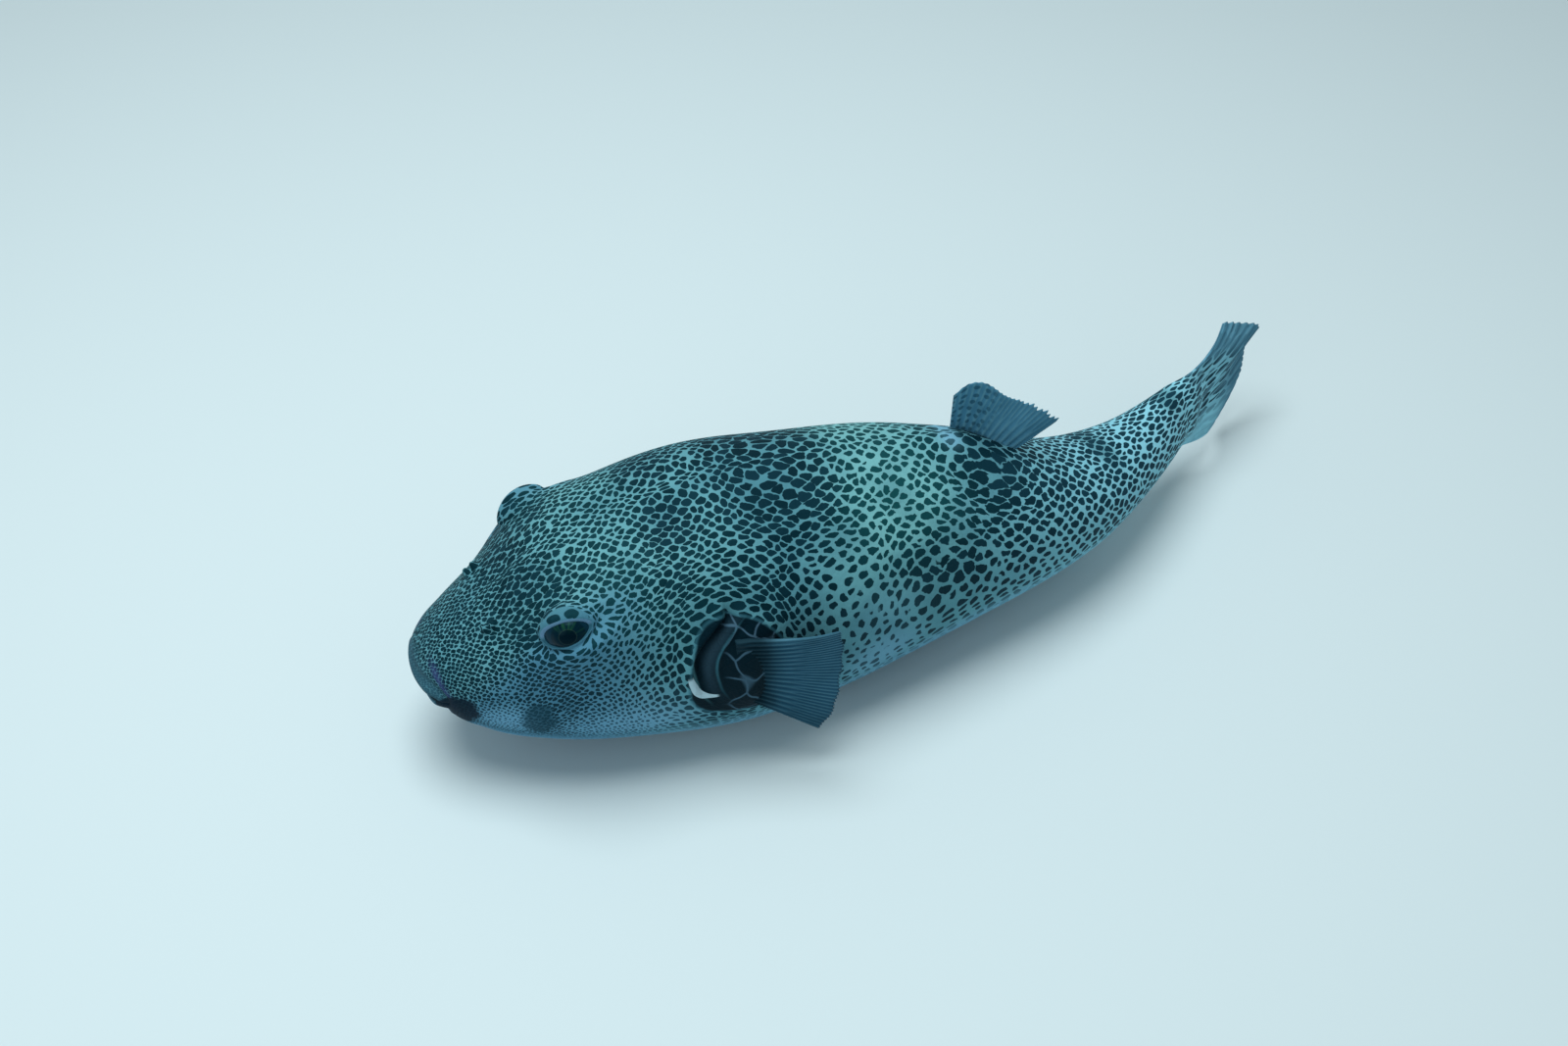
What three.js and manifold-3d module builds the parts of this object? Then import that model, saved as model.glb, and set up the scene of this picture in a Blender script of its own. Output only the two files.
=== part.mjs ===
// A starry pufferfish, life-size, lying at rest on its belly with its tail turned aside.
// Millimetres. +Z is up and the floor is z = 0. The head points along -X, the left flank
// faces -Y, and the origin is on the floor under the middle of the belly.
// Stations are distances back from the tip of the snout, measured along the spine.

import * as THREE from "three";
import { mergeVertices } from "three/addons/utils/BufferGeometryUtils.js";
import Module from "manifold-3d";

// ---- driving dimensions -------------------------------------------------------------

const STANDARD_LENGTH = 755; // snout to the root of the tail fin
const BELLY_STATION = 300; // the station that stands over the origin
const GAP = 0.3; // clearance between pieces that touch

const HEAD_END = 222; // just behind the gill openings
const TRUNK_END = 590; // behind the dorsal and anal fins
const RING_POINTS = 28;
const HEAD_RINGS = 18;
const HEAD_CROWDING = 1.35; // over 1 sets the head's rings closer together at the snout
const TRUNK_RINGS = 16;
const TAIL_RINGS = 8;
const FIN_ROWS = 3;
const BALL_SEGMENTS = 16;
const SMALL_BALL_SEGMENTS = 8;
const CRESCENT_STEPS = 8; // along a lip and along a gill slit
const CRESCENT_CORNERS = 6;

// The spine from above is straight as far as the dorsal fin, and then turns to the right.
const TAIL_TURN = THREE.MathUtils.degToRad(31);
const BEND_START = 440;
const BEND_END = 780;

// The back leans over to the right, and more so behind the belly.
const LEAN = THREE.MathUtils.degToRad(4);
const TWIST = THREE.MathUtils.degToRad(5);
const TWIST_START = 300;
const TWIST_END = 500;

const SNOUT_LENGTH = 80;
const CHIN_SETBACK = 22; // the chin lies this far behind the tip of the snout

const EYE_STATION = 121;
const EYE_HEIGHT = 161;
const EYE_RADIUS = 21;
const EYE_INSET = 12; // the eyeball's centre lies this far inside the cheek
const BROW_RISE = 17;
const BROW_LENGTH = 34; // half lengths of the mound that carries the eye
const BROW_SPREAD = 0.32;
const BROW_ANGLE = 0.95; // from the middle of the back to the brow, in radians

const NOSTRIL_STATION = 66;
const NOSTRIL_ANGLE = THREE.MathUtils.degToRad(25);
const NOSTRIL_LOBE = [3.4, 4.5, 6]; // half sizes
const NOSTRIL_PITCH = 4; // between the centres of its two lobes

const MOUTH_HEIGHT = 84;
const MOUTH_HALF_WIDTH = 33;
const MOUTH_BOW = 7; // the corners of the mouth lie this far behind its middle
const MOUTH_OPENING = [18, 26, 8]; // half sizes
const LIP_RISE = 10; // from the middle of the mouth to the middle of a lip
const LIP_RADIUS = 6.5;
const LIP_END_RADIUS = 2.2; // at the corners of the mouth
const BEAK_SIZE = [9, 19, 6.5]; // half sizes of a beak plate
const BEAK_SETBACK = 5;

const GILL_TOP = { station: 236, angle: THREE.MathUtils.degToRad(155) };
const GILL_FOOT = { station: 219, angle: THREE.MathUtils.degToRad(188) };
const GILL_CURVE = 20; // the crescent bows forward by this much
const GILL_DEPTH = 12;
const GILL_HALF_WIDTH = 6;
const GILL_END_DEPTH = 2;
const GILL_END_HALF_WIDTH = 0.8;

const PECTORAL_STATION = 250;
const PECTORAL_TOP = 134;
const PECTORAL_FOOT = 70;
const PECTORAL_LENGTH = 72;
const PECTORAL_SPLAY = THREE.MathUtils.degToRad(15); // out from the flank
const PECTORAL_DROOP = THREE.MathUtils.degToRad(36); // of the lowest ray
const PECTORAL_LOBE = [17, 11, 38]; // half sizes of the fleshy base
const PECTORAL_SINK = 4; // the rays start this far in front of the fin's station
const PECTORAL_CURL = 4;

const DORSAL_STATION = 478;
const DORSAL_BASE = 52;
const DORSAL_LEAN = THREE.MathUtils.degToRad(-23); // over to the left
const DORSAL_START = 15; // the base runs from this far right of the middle line
const DORSAL_FINISH = -5; // to this far left of it
const DORSAL_FIRST_SWEEP = THREE.MathUtils.degToRad(95); // of the first ray, from the base
const DORSAL_LAST_SWEEP = THREE.MathUtils.degToRad(12);
const DORSAL_SHORT_RAY = 46;
const DORSAL_LONG_RAY = 60;
const PAD_RISE = 9; // the fleshy pad under the dorsal fin
const PAD_LENGTH = 42;
const PAD_SPREAD = 0.3;
const ANAL_STATION = 512;
const ANAL_BASE = 52;
const ANAL_LENGTH = 62;
const ANAL_CLEARANCE = 14; // of the rays' tips below the belly
const ANAL_LEAN = THREE.MathUtils.degToRad(20);
const CAUDAL_LENGTH = 158;
const CAUDAL_HALF_HEIGHT = 55;
const CAUDAL_ROUNDING = 66; // its corners lie this far in front of its tip
const CAUDAL_CURL = 10; // the middle of its blade bows out to the left
const FIN_SINK = 5; // the fins' roots reach this far below the skin
const FIN_ROOT_THICKNESS = 9;
const FIN_EDGE_THICKNESS = 1.2;
const WEB_SHARE = 0.55; // the web between two rays is this share of the rays' thickness
const FLOOR_BLOCK = 2000; // wider than the fish

// The body's sections: the heights of the back, of the widest line and of the belly, the
// half width, and how square the upper and the lower half are (2 is an ellipse).
const SECTIONS = [
  { at: 0, back: 100, wide: 82, belly: 63, half: 20, upper: 2.2, lower: 2.2 },
  { at: 5, back: 109, wide: 83, belly: 55, half: 33, upper: 2.2, lower: 2.2 },
  { at: 14, back: 119, wide: 84, belly: 47, half: 46, upper: 2.2, lower: 2.1 },
  { at: 35, back: 134, wide: 86, belly: 37, half: 59, upper: 2.2, lower: 2.1 },
  { at: 70, back: 154, wide: 88, belly: 26, half: 76, upper: 2.3, lower: 2.1 },
  { at: 115, back: 184, wide: 90, belly: 15, half: 93, upper: 2.6, lower: 2.2 },
  { at: 180, back: 207, wide: 93, belly: 4, half: 104, upper: 2.6, lower: 2.4 },
  { at: 246, back: 218, wide: 94, belly: -4, half: 108, upper: 2.4, lower: 2.5 },
  { at: 330, back: 213, wide: 95, belly: -4, half: 106, upper: 2.1, lower: 2.3 },
  { at: 420, back: 195, wide: 95, belly: 5, half: 94, upper: 2.1, lower: 2.2 },
  { at: 500, back: 167, wide: 91, belly: 16, half: 79, upper: 2, lower: 2.1 },
  { at: 590, back: 132, wide: 83, belly: 30, half: 59, upper: 2, lower: 2 },
  { at: 670, back: 117, wide: 79, belly: 42, half: 38, upper: 2, lower: 2 },
  { at: 755, back: 113, wide: 77, belly: 42, half: 18, upper: 2, lower: 2 },
];

const wasm = await Module();
wasm.setup();

// ---- materials ----------------------------------------------------------------------

function finish(color, roughness) {
  return new THREE.MeshStandardMaterial({ color, roughness, metalness: 0 });
}

const SKIN = finish(0x9fb8b0, 0.55);
const FIN_SKIN = finish(0x5f7f86, 0.5);
const LIP_SKIN = finish(0x4a3b34, 0.5);
const BEAK = finish(0xe6e0cf, 0.35);
const EYE = finish(0x2a1a12, 0.08);

// ---- solids -------------------------------------------------------------------------

function solidFrom(geometry) {
  const bare = geometry.clone();
  bare.deleteAttribute("normal");
  bare.deleteAttribute("uv");
  const merged = mergeVertices(bare, 1e-4);
  return new wasm.Manifold(
    new wasm.Mesh({
      numProp: 3,
      vertProperties: merged.getAttribute("position").array,
      triVerts: new Uint32Array(merged.index.array),
    }),
  );
}

function geometryFrom(solid) {
  const { vertProperties, triVerts } = solid.getMesh();
  const geometry = new THREE.BufferGeometry();
  geometry.setAttribute("position", new THREE.BufferAttribute(vertProperties, 3));
  geometry.setIndex(new THREE.BufferAttribute(triVerts, 1));
  const flat = geometry.toNonIndexed();
  flat.computeVertexNormals();
  return flat;
}

// What is left of a piece after a cut, without the crumbs.
function mainPiece(solid) {
  const pieces = solid.decompose();
  return pieces.reduce((best, piece) => (piece.volume() > best.volume() ? piece : best));
}

const fish = new THREE.Group();

function addNode(name, solid, material) {
  const mesh = new THREE.Mesh(geometryFrom(mainPiece(solid)), material);
  mesh.name = name;
  fish.add(mesh);
}

// The solid of a closed list of faces over some points, with its faces turned outwards.
function solidOfFaces(points, faces) {
  const geometry = new THREE.BufferGeometry().setFromPoints(points);
  geometry.setIndex(faces);
  const solid = solidFrom(geometry);
  if (solid.volume() > 0) return solid;
  geometry.setIndex(faces.reverse());
  return solidFrom(geometry);
}

// A closed solid over rows of points: every row has the same number of points and goes
// round the same way, and a fan closes each end.
function solidOfRows(rows) {
  const count = rows[0].length;
  const points = rows.flat();
  const centre = (row) => {
    const sum = row.reduce((total, point) => total.add(point), new THREE.Vector3());
    return sum.divideScalar(count);
  };
  points.push(centre(rows[0]), centre(rows[rows.length - 1]));
  const first = points.length - 2;
  const last = points.length - 1;
  const faces = [];
  for (let i = 0; i < count; i++) {
    const next = (i + 1) % count;
    faces.push(first, next, i);
    const end = (rows.length - 1) * count;
    faces.push(last, end + i, end + next);
    for (let row = 0; row + 1 < rows.length; row++) {
      const a = row * count;
      const b = a + count;
      faces.push(a + i, a + next, b + i);
      faces.push(a + next, b + next, b + i);
    }
  }
  return solidOfFaces(points, faces);
}

// ---- spine and sections -------------------------------------------------------------

function smoothStep(from, to, value) {
  return THREE.MathUtils.smoothstep(value, from, to);
}

function headingAt(station) {
  return TAIL_TURN * smoothStep(BEND_START, BEND_END, station);
}

function leanAt(station) {
  return LEAN + TWIST * smoothStep(TWIST_START, TWIST_END, station);
}

// The spine's place from above: it is straight to the bend and then follows the headings.
function spineAt(station) {
  const longestStep = 5;
  const bent = Math.max(0, station - BEND_START);
  const steps = Math.ceil(bent / longestStep);
  let x = station - bent - BELLY_STATION;
  let y = 0;
  for (let step = 0; step < steps; step++) {
    const heading = headingAt(BEND_START + ((step + 0.5) * bent) / steps);
    x += (bent / steps) * Math.cos(heading);
    y += (bent / steps) * Math.sin(heading);
  }
  return { x, y, heading: headingAt(station) };
}

// The point of the part's frame at a station, a distance out to the right of the spine
// and a height over the belly line.
function inFrame(station, out, height) {
  const { x, y, heading } = spineAt(station);
  const lean = leanAt(station);
  const across = out * Math.cos(lean) + height * Math.sin(lean);
  return new THREE.Vector3(
    x - across * Math.sin(heading),
    y + across * Math.cos(heading),
    height * Math.cos(lean) - out * Math.sin(lean),
  );
}

const sectionCurves = {};
for (const size of ["back", "wide", "belly", "half", "upper", "lower"]) {
  sectionCurves[size] = new THREE.CubicInterpolant(
    SECTIONS.map((section) => section.at),
    SECTIONS.map((section) => section[size]),
    1,
  );
}

function sectionAt(station) {
  const section = {};
  for (const [size, curve] of Object.entries(sectionCurves)) {
    section[size] = curve.evaluate(station)[0];
  }
  return section;
}

// The half width of the upper body at a station and a height.
function halfWidthAt(station, height) {
  const { back, wide, half, upper } = sectionAt(station);
  const lift = Math.max(0, height - wide) / (back - wide);
  return half * (1 - lift ** upper) ** (1 / upper);
}

// How far the brow stands out round the eye, at a station and an angle of the section.
function browAt(station, angle) {
  const along = (station - EYE_STATION) / BROW_LENGTH;
  const around = (Math.abs(Math.PI / 2 - angle) - BROW_ANGLE) / BROW_SPREAD;
  return BROW_RISE * Math.exp(-along * along - around * around);
}

// How far the pad under the dorsal fin stands out, at a station and an angle.
function padAt(station, angle) {
  const along = (station - DORSAL_STATION) / PAD_LENGTH;
  const around = (angle - Math.PI / 2) / PAD_SPREAD;
  return PAD_RISE * Math.exp(-along * along - around * around);
}

// How far the snout slopes back towards the chin, at a station and an angle.
function setbackAt(station, angle) {
  const fade = 1 - smoothStep(0, SNOUT_LENGTH, station);
  return (CHIN_SETBACK * fade * (1 - Math.sin(angle))) / 2;
}

// A point of the skin: angle 0 is the right flank and a quarter turn is the back.
function skinPoint(station, angle, offset = 0) {
  const { back, wide, belly, half, upper, lower } = sectionAt(station);
  const rising = Math.sin(angle) >= 0;
  const power = 2 / (rising ? upper : lower);
  const height = (rising ? back - wide : wide - belly) + offset;
  const across = Math.sign(Math.cos(angle)) * Math.abs(Math.cos(angle)) ** power;
  const up = Math.sign(Math.sin(angle)) * Math.abs(Math.sin(angle)) ** power;
  const mound = browAt(station, angle) + padAt(station, angle);
  return inFrame(
    station + setbackAt(station, angle),
    (half + offset) * across + mound * Math.cos(angle),
    wide + height * up + mound * Math.sin(angle),
  );
}

// The length of body between two stations, with its rings crowded towards the front by a
// power over 1. An offset makes it that much larger all round.
function bodySolid(from, to, rings, crowding = 1, offset = 0) {
  const rows = [];
  for (let ring = 0; ring <= rings; ring++) {
    const length = to - from + 2 * offset;
    const station = from - offset + length * (ring / rings) ** crowding;
    const row = [];
    for (let i = 0; i < RING_POINTS; i++) {
      row.push(skinPoint(station, (2 * Math.PI * i) / RING_POINTS, offset));
    }
    rows.push(row);
  }
  return solidOfRows(rows);
}

function ball(centre, halfSizes, segments = BALL_SEGMENTS) {
  const geometry = new THREE.SphereGeometry(1, segments, Math.round(segments * 0.6));
  geometry.rotateX(Math.PI / 2);
  geometry.scale(...halfSizes);
  geometry.translate(centre.x, centre.y, centre.z);
  return solidFrom(geometry);
}

const round = (radius) => [radius, radius, radius];
const grown = (halfSizes) => halfSizes.map((size) => size + GAP);

const floorBlock = solidFrom(
  new THREE.BoxGeometry(FLOOR_BLOCK, FLOOR_BLOCK, FLOOR_BLOCK).translate(0, 0, -FLOOR_BLOCK / 2),
);
const SIDES = [
  { name: "left", side: -1 },
  { name: "right", side: 1 },
];

function headSolid(offset) {
  return bodySolid(0, HEAD_END - GAP / 2, HEAD_RINGS, HEAD_CROWDING, offset);
}

function trunkSolid(offset) {
  return bodySolid(HEAD_END + GAP / 2, TRUNK_END - GAP / 2, TRUNK_RINGS, 1, offset);
}

function tailSolid(offset) {
  return bodySolid(TRUNK_END + GAP / 2, STANDARD_LENGTH, TAIL_RINGS, 1, offset);
}

let head = headSolid(0);
let trunk = trunkSolid(0);
const clearTrunk = trunkSolid(GAP);
const clearTail = tailSolid(GAP);

// ---- eyes ---------------------------------------------------------------------------

for (const { name, side } of SIDES) {
  const out = halfWidthAt(EYE_STATION, EYE_HEIGHT) + BROW_RISE / 2 - EYE_INSET;
  const centre = inFrame(EYE_STATION, side * out, EYE_HEIGHT);
  addNode(`eye_${name}`, ball(centre, round(EYE_RADIUS)), EYE);
  head = head.subtract(ball(centre, round(EYE_RADIUS + GAP)));
}

// ---- mouth: two lips round an opening that shows the tips of the beak ----------------

const snoutFront = sectionAt(0);
const SNOUT_RAKE = CHIN_SETBACK / (snoutFront.back - snoutFront.belly);
const mouthCentre = inFrame(CHIN_SETBACK / 2, 0, MOUTH_HEIGHT);

// A lip, from one corner of the mouth round the front to the other. It lies over (side 1)
// or under (side -1) the opening.
function lipSolid(side, offset = 0) {
  const rows = [];
  for (let step = 0; step <= CRESCENT_STEPS; step++) {
    const across = (2 * step) / CRESCENT_STEPS - 1;
    const bow = Math.sqrt(Math.max(0, 1 - across * across));
    const radius = THREE.MathUtils.lerp(LIP_END_RADIUS, LIP_RADIUS, bow) + offset;
    const rise = side * (LIP_END_RADIUS + GAP + LIP_RISE * bow);
    const row = [];
    for (let i = 0; i < CRESCENT_CORNERS; i++) {
      const angle = (2 * Math.PI * i) / CRESCENT_CORNERS;
      row.push(
        new THREE.Vector3(
          MOUTH_BOW * across * across - SNOUT_RAKE * rise + radius * Math.cos(angle),
          MOUTH_HALF_WIDTH * across,
          rise + radius * Math.sin(angle),
        ).add(mouthCentre),
      );
    }
    rows.push(row);
  }
  return solidOfRows(rows);
}

const clearSnout = headSolid(GAP).subtract(
  ball(mouthCentre, MOUTH_OPENING.map((size) => size - GAP)),
);
head = head.subtract(ball(mouthCentre, MOUTH_OPENING));
for (const { name, side } of [{ name: "upper", side: 1 }, { name: "lower", side: -1 }]) {
  const root = new THREE.Vector3(BEAK_SETBACK, 0, side * BEAK_SIZE[2]).add(mouthCentre);
  const beak = ball(root, BEAK_SIZE, SMALL_BALL_SEGMENTS).subtract(lipSolid(side, GAP));
  addNode(`beak_${name}`, beak.subtract(clearSnout), BEAK);
  addNode(`lip_${name}`, lipSolid(side).subtract(clearSnout), LIP_SKIN);
}

// ---- nostrils: a pair of short lobes on each side of the snout ----------------------

for (const { name, side } of SIDES) {
  const angle = Math.PI / 2 - side * NOSTRIL_ANGLE;
  const lobes = [-1, 1].map((along) => {
    const station = NOSTRIL_STATION + (along * NOSTRIL_PITCH) / 2;
    return ball(skinPoint(station, angle, NOSTRIL_LOBE[2] / 2), NOSTRIL_LOBE, SMALL_BALL_SEGMENTS);
  });
  addNode(`nostril_${name}`, lobes[0].add(lobes[1]).subtract(clearSnout), SKIN);
}

// ---- gill openings: a crescent slit in front of each pectoral fin -------------------

for (const { side } of SIDES) {
  const rows = [];
  for (let step = 0; step <= CRESCENT_STEPS; step++) {
    const t = step / CRESCENT_STEPS;
    const swell = Math.sin(Math.PI * t);
    const station = THREE.MathUtils.lerp(GILL_TOP.station, GILL_FOOT.station, t);
    const leftAngle = THREE.MathUtils.lerp(GILL_TOP.angle, GILL_FOOT.angle, t);
    const angle = side < 0 ? leftAngle : Math.PI - leftAngle;
    const middle = station - GILL_CURVE * swell;
    const row = [];
    for (let i = 0; i < CRESCENT_CORNERS; i++) {
      const turn = (2 * Math.PI * i) / CRESCENT_CORNERS;
      const width = THREE.MathUtils.lerp(GILL_END_HALF_WIDTH, GILL_HALF_WIDTH, swell) * Math.cos(turn);
      const depth = THREE.MathUtils.lerp(GILL_END_DEPTH, GILL_DEPTH, swell) * Math.sin(turn);
      row.push(skinPoint(middle + width, angle, depth));
    }
    rows.push(row);
  }
  const slit = solidOfRows(rows);
  head = head.subtract(slit);
  trunk = trunk.subtract(slit);
}

// ---- fins ---------------------------------------------------------------------------

// A closed slab between two grids of points that lie side by side.
function slabSolid(front, back) {
  const rows = front.length;
  const columns = front[0].length;
  const points = [...front.flat(), ...back.flat()];
  const behind = rows * columns;
  const faces = [];
  const quad = (a, b, c, d) => faces.push(a, b, c, a, c, d);
  for (let row = 0; row + 1 < rows; row++) {
    for (let column = 0; column + 1 < columns; column++) {
      const a = row * columns + column;
      const c = a + columns;
      quad(a, a + 1, c + 1, c);
      quad(behind + a, behind + c, behind + c + 1, behind + a + 1);
    }
  }
  for (let column = 0; column + 1 < columns; column++) {
    const a = column;
    const c = (rows - 1) * columns + column;
    quad(a, behind + a, behind + a + 1, a + 1);
    quad(c, c + 1, behind + c + 1, behind + c);
  }
  for (let row = 0; row + 1 < rows; row++) {
    const a = row * columns;
    const c = a + columns - 1;
    quad(a, a + columns, behind + a + columns, behind + a);
    quad(c, behind + c, behind + c + columns, c + columns);
  }
  return solidOfFaces(points, faces);
}

// A rayed fin between its root line and its edge, each a function of how far along the
// base (0 to 1) a ray stands. The web between two rays is thinner than the rays.
function finSolid({ root, edge, rays, curl = 0 }) {
  const rows = FIN_ROWS;
  const columns = 2 * rays;
  const middle = [];
  for (let row = 0; row <= rows; row++) {
    middle.push([]);
    for (let column = 0; column <= columns; column++) {
      const from = root(column / columns);
      const to = edge(column / columns);
      middle[row].push(from.lerp(to, row / rows));
    }
  }
  const front = [];
  const back = [];
  for (let row = 0; row <= rows; row++) {
    front.push([]);
    back.push([]);
    const out = row / rows;
    for (let column = 0; column <= columns; column++) {
      const point = middle[row][column];
      const before = middle[row][Math.max(0, column - 1)];
      const after = middle[row][Math.min(columns, column + 1)];
      const below = middle[Math.max(0, row - 1)][column];
      const above = middle[Math.min(rows, row + 1)][column];
      const normal = after.clone().sub(before).cross(above.clone().sub(below)).normalize();
      const ray = THREE.MathUtils.lerp(FIN_ROOT_THICKNESS, FIN_EDGE_THICKNESS, out ** 0.45);
      const thickness = column % 2 ? ray * WEB_SHARE : ray;
      const bulge = curl * Math.sin(Math.PI * out);
      front[row].push(point.clone().addScaledVector(normal, bulge + thickness / 2));
      back[row].push(point.clone().addScaledVector(normal, bulge - thickness / 2));
    }
  }
  return slabSolid(front, back);
}

// The pectoral fins stand on a fleshy lobe of the flank.
for (const { name, side } of SIDES) {
  const flank = side * sectionAt(PECTORAL_STATION).half;
  const lobeCentre = inFrame(
    PECTORAL_STATION - PECTORAL_LOBE[0] / 2,
    flank,
    (PECTORAL_TOP + PECTORAL_FOOT) / 2,
  );
  const rootOut = flank + side * FIN_SINK * 0.6;
  const heightAt = (u) => THREE.MathUtils.lerp(PECTORAL_TOP, PECTORAL_FOOT, u);
  const fin = finSolid({
    rays: 17,
    root: (u) => inFrame(PECTORAL_STATION - PECTORAL_SINK, rootOut, heightAt(u)),
    edge: (u) => {
      const droop = PECTORAL_DROOP * u ** 1.5;
      const reach = PECTORAL_LENGTH * (1 - 0.1 * u ** 3);
      return inFrame(
        PECTORAL_STATION + reach * Math.cos(droop),
        rootOut + side * reach * Math.sin(PECTORAL_SPLAY),
        heightAt(u) - reach * Math.sin(droop),
      );
    },
    curl: side * PECTORAL_CURL,
  });
  const clearLobe = ball(lobeCentre, grown(PECTORAL_LOBE));
  addNode(`pectoral_fin_${name}`, fin.subtract(clearTrunk).subtract(clearLobe), FIN_SKIN);
  trunk = trunk.add(ball(lobeCentre, PECTORAL_LOBE));
}

// The dorsal fin's first rays stand up, and the last ones lie back along the tail.
const dorsalOut = (u) => THREE.MathUtils.lerp(DORSAL_START, DORSAL_FINISH, u);
const dorsalFoot = (station) => sectionAt(station).back + padAt(station, Math.PI / 2);
const dorsalFin = finSolid({
  rays: 11,
  root: (u) => {
    const station = DORSAL_STATION + DORSAL_BASE * u;
    return inFrame(station, dorsalOut(u), dorsalFoot(station) - FIN_SINK);
  },
  edge: (u) => {
    const station = DORSAL_STATION + DORSAL_BASE * u;
    const sweep = THREE.MathUtils.lerp(DORSAL_FIRST_SWEEP, DORSAL_LAST_SWEEP, u ** 1.2);
    const longest = Math.exp(-(((u - 0.16) / 0.2) ** 2));
    const reach = THREE.MathUtils.lerp(DORSAL_SHORT_RAY, DORSAL_LONG_RAY, longest);
    return inFrame(
      station + reach * Math.cos(sweep),
      dorsalOut(u) + reach * Math.sin(sweep) * Math.sin(DORSAL_LEAN),
      dorsalFoot(station) + reach * Math.sin(sweep) * Math.cos(DORSAL_LEAN),
    );
  },
});
addNode("dorsal_fin", dorsalFin.subtract(clearTrunk), FIN_SKIN);

// The anal fin lies folded back between the belly and the floor.
const analFin = finSolid({
  rays: 10,
  root: (u) => {
    const station = ANAL_STATION + ANAL_BASE * u;
    return inFrame(station, 0, sectionAt(station).belly + FIN_SINK);
  },
  edge: (u) => {
    const station = ANAL_STATION + ANAL_BASE * u;
    const reach = ANAL_LENGTH * (1 - 0.15 * u);
    const height = sectionAt(station + reach).belly - ANAL_CLEARANCE;
    return inFrame(station + reach, reach * Math.sin(ANAL_LEAN), height);
  },
});
addNode("anal_fin", analFin.subtract(clearTrunk).subtract(clearTail), FIN_SKIN);

// The tail fin stands upright and carries the line of the tail on. Its rear edge is round.
const rootHeight = sectionAt(STANDARD_LENGTH);
const caudalFin = finSolid({
  rays: 11,
  root: (u) => {
    const height = THREE.MathUtils.lerp(rootHeight.back - 3, rootHeight.belly + 3, u);
    return inFrame(STANDARD_LENGTH - 2 * FIN_SINK, 0, height);
  },
  edge: (u) => {
    const spread = 1 - 2 * u;
    return inFrame(
      STANDARD_LENGTH + CAUDAL_LENGTH - CAUDAL_ROUNDING * Math.abs(spread) ** 1.9,
      0,
      rootHeight.wide + CAUDAL_HALF_HEIGHT * spread,
    );
  },
  curl: CAUDAL_CURL,
});
addNode("caudal_fin", caudalFin.subtract(clearTail), FIN_SKIN);

// ---- the three lengths of the body, flat where they lie on the floor ----------------

addNode("head", head.subtract(floorBlock), SKIN);
addNode("trunk", trunk.subtract(floorBlock), SKIN);
addNode("tail", tailSolid(0), SKIN);

export default fish;
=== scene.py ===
"""A starry pufferfish, life-size, lying at rest on its belly with its tail turned aside.

Metres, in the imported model's frame: the head points along -X, the left flank faces -Y, +Z
is up and the floor is z = 0. Stations are distances back from the tip of the snout along
the spine. Angles go round a section: 0 is the right flank and a quarter turn is the back.
"""

import math

import bpy
import numpy as np
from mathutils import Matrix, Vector


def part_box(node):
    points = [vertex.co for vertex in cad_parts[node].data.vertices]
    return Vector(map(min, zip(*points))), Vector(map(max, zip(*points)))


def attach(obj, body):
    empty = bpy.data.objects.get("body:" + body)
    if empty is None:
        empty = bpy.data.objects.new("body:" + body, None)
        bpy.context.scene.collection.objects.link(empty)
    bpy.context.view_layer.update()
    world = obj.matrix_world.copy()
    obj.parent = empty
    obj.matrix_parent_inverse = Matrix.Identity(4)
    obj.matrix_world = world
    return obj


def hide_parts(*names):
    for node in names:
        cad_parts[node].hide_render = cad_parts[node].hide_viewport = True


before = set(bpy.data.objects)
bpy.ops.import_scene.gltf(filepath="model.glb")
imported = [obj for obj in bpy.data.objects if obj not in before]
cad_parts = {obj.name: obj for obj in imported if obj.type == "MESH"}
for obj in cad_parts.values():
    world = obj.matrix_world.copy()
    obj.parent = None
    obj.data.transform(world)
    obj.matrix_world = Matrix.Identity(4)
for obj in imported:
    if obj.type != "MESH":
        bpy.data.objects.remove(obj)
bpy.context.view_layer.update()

# ---- the body's driving dimensions ----------------------------------------------------

MM = 0.001
TURN = 2 * math.pi

STANDARD_LENGTH = 755 * MM
BELLY_STATION = 300 * MM
TAIL_TURN = math.radians(31)
BEND_START = 440 * MM
BEND_END = 780 * MM
LEAN = math.radians(4)
TWIST = math.radians(5)
TWIST_START = 300 * MM
TWIST_END = 500 * MM
SNOUT_LENGTH = 80 * MM
CHIN_SETBACK = 22 * MM

EYE_STATION = 121 * MM
BROW_RISE = 17 * MM
BROW_LENGTH = 34 * MM
BROW_SPREAD = 0.32
BROW_ANGLE = 0.95

DORSAL_STATION = 478 * MM
DORSAL_BASE = 52 * MM
DORSAL_LEAN = math.radians(-23)
DORSAL_START = 13 * MM  # the base runs from this far right of the middle line
DORSAL_FINISH = -6 * MM  # to this far left of it
DORSAL_FIRST_SWEEP = math.radians(95)  # of the first ray, from the base
DORSAL_LAST_SWEEP = math.radians(21)
DORSAL_SHORT_RAY = 46 * MM
DORSAL_LONG_RAY = 60 * MM
DORSAL_FRONT_CUT = 9 * MM  # the first ray is this much shorter still
DORSAL_RAYS = 11
PAD_RISE = 9 * MM
PAD_LENGTH = 42 * MM
PAD_SPREAD = 0.3

CAUDAL_LENGTH = 158 * MM
CAUDAL_HALF_HEIGHT = 55 * MM
CAUDAL_ROUNDING = 66 * MM
CAUDAL_CURL = 10 * MM
CAUDAL_END = STANDARD_LENGTH + CAUDAL_LENGTH
CAUDAL_RAYS = 11

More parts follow.
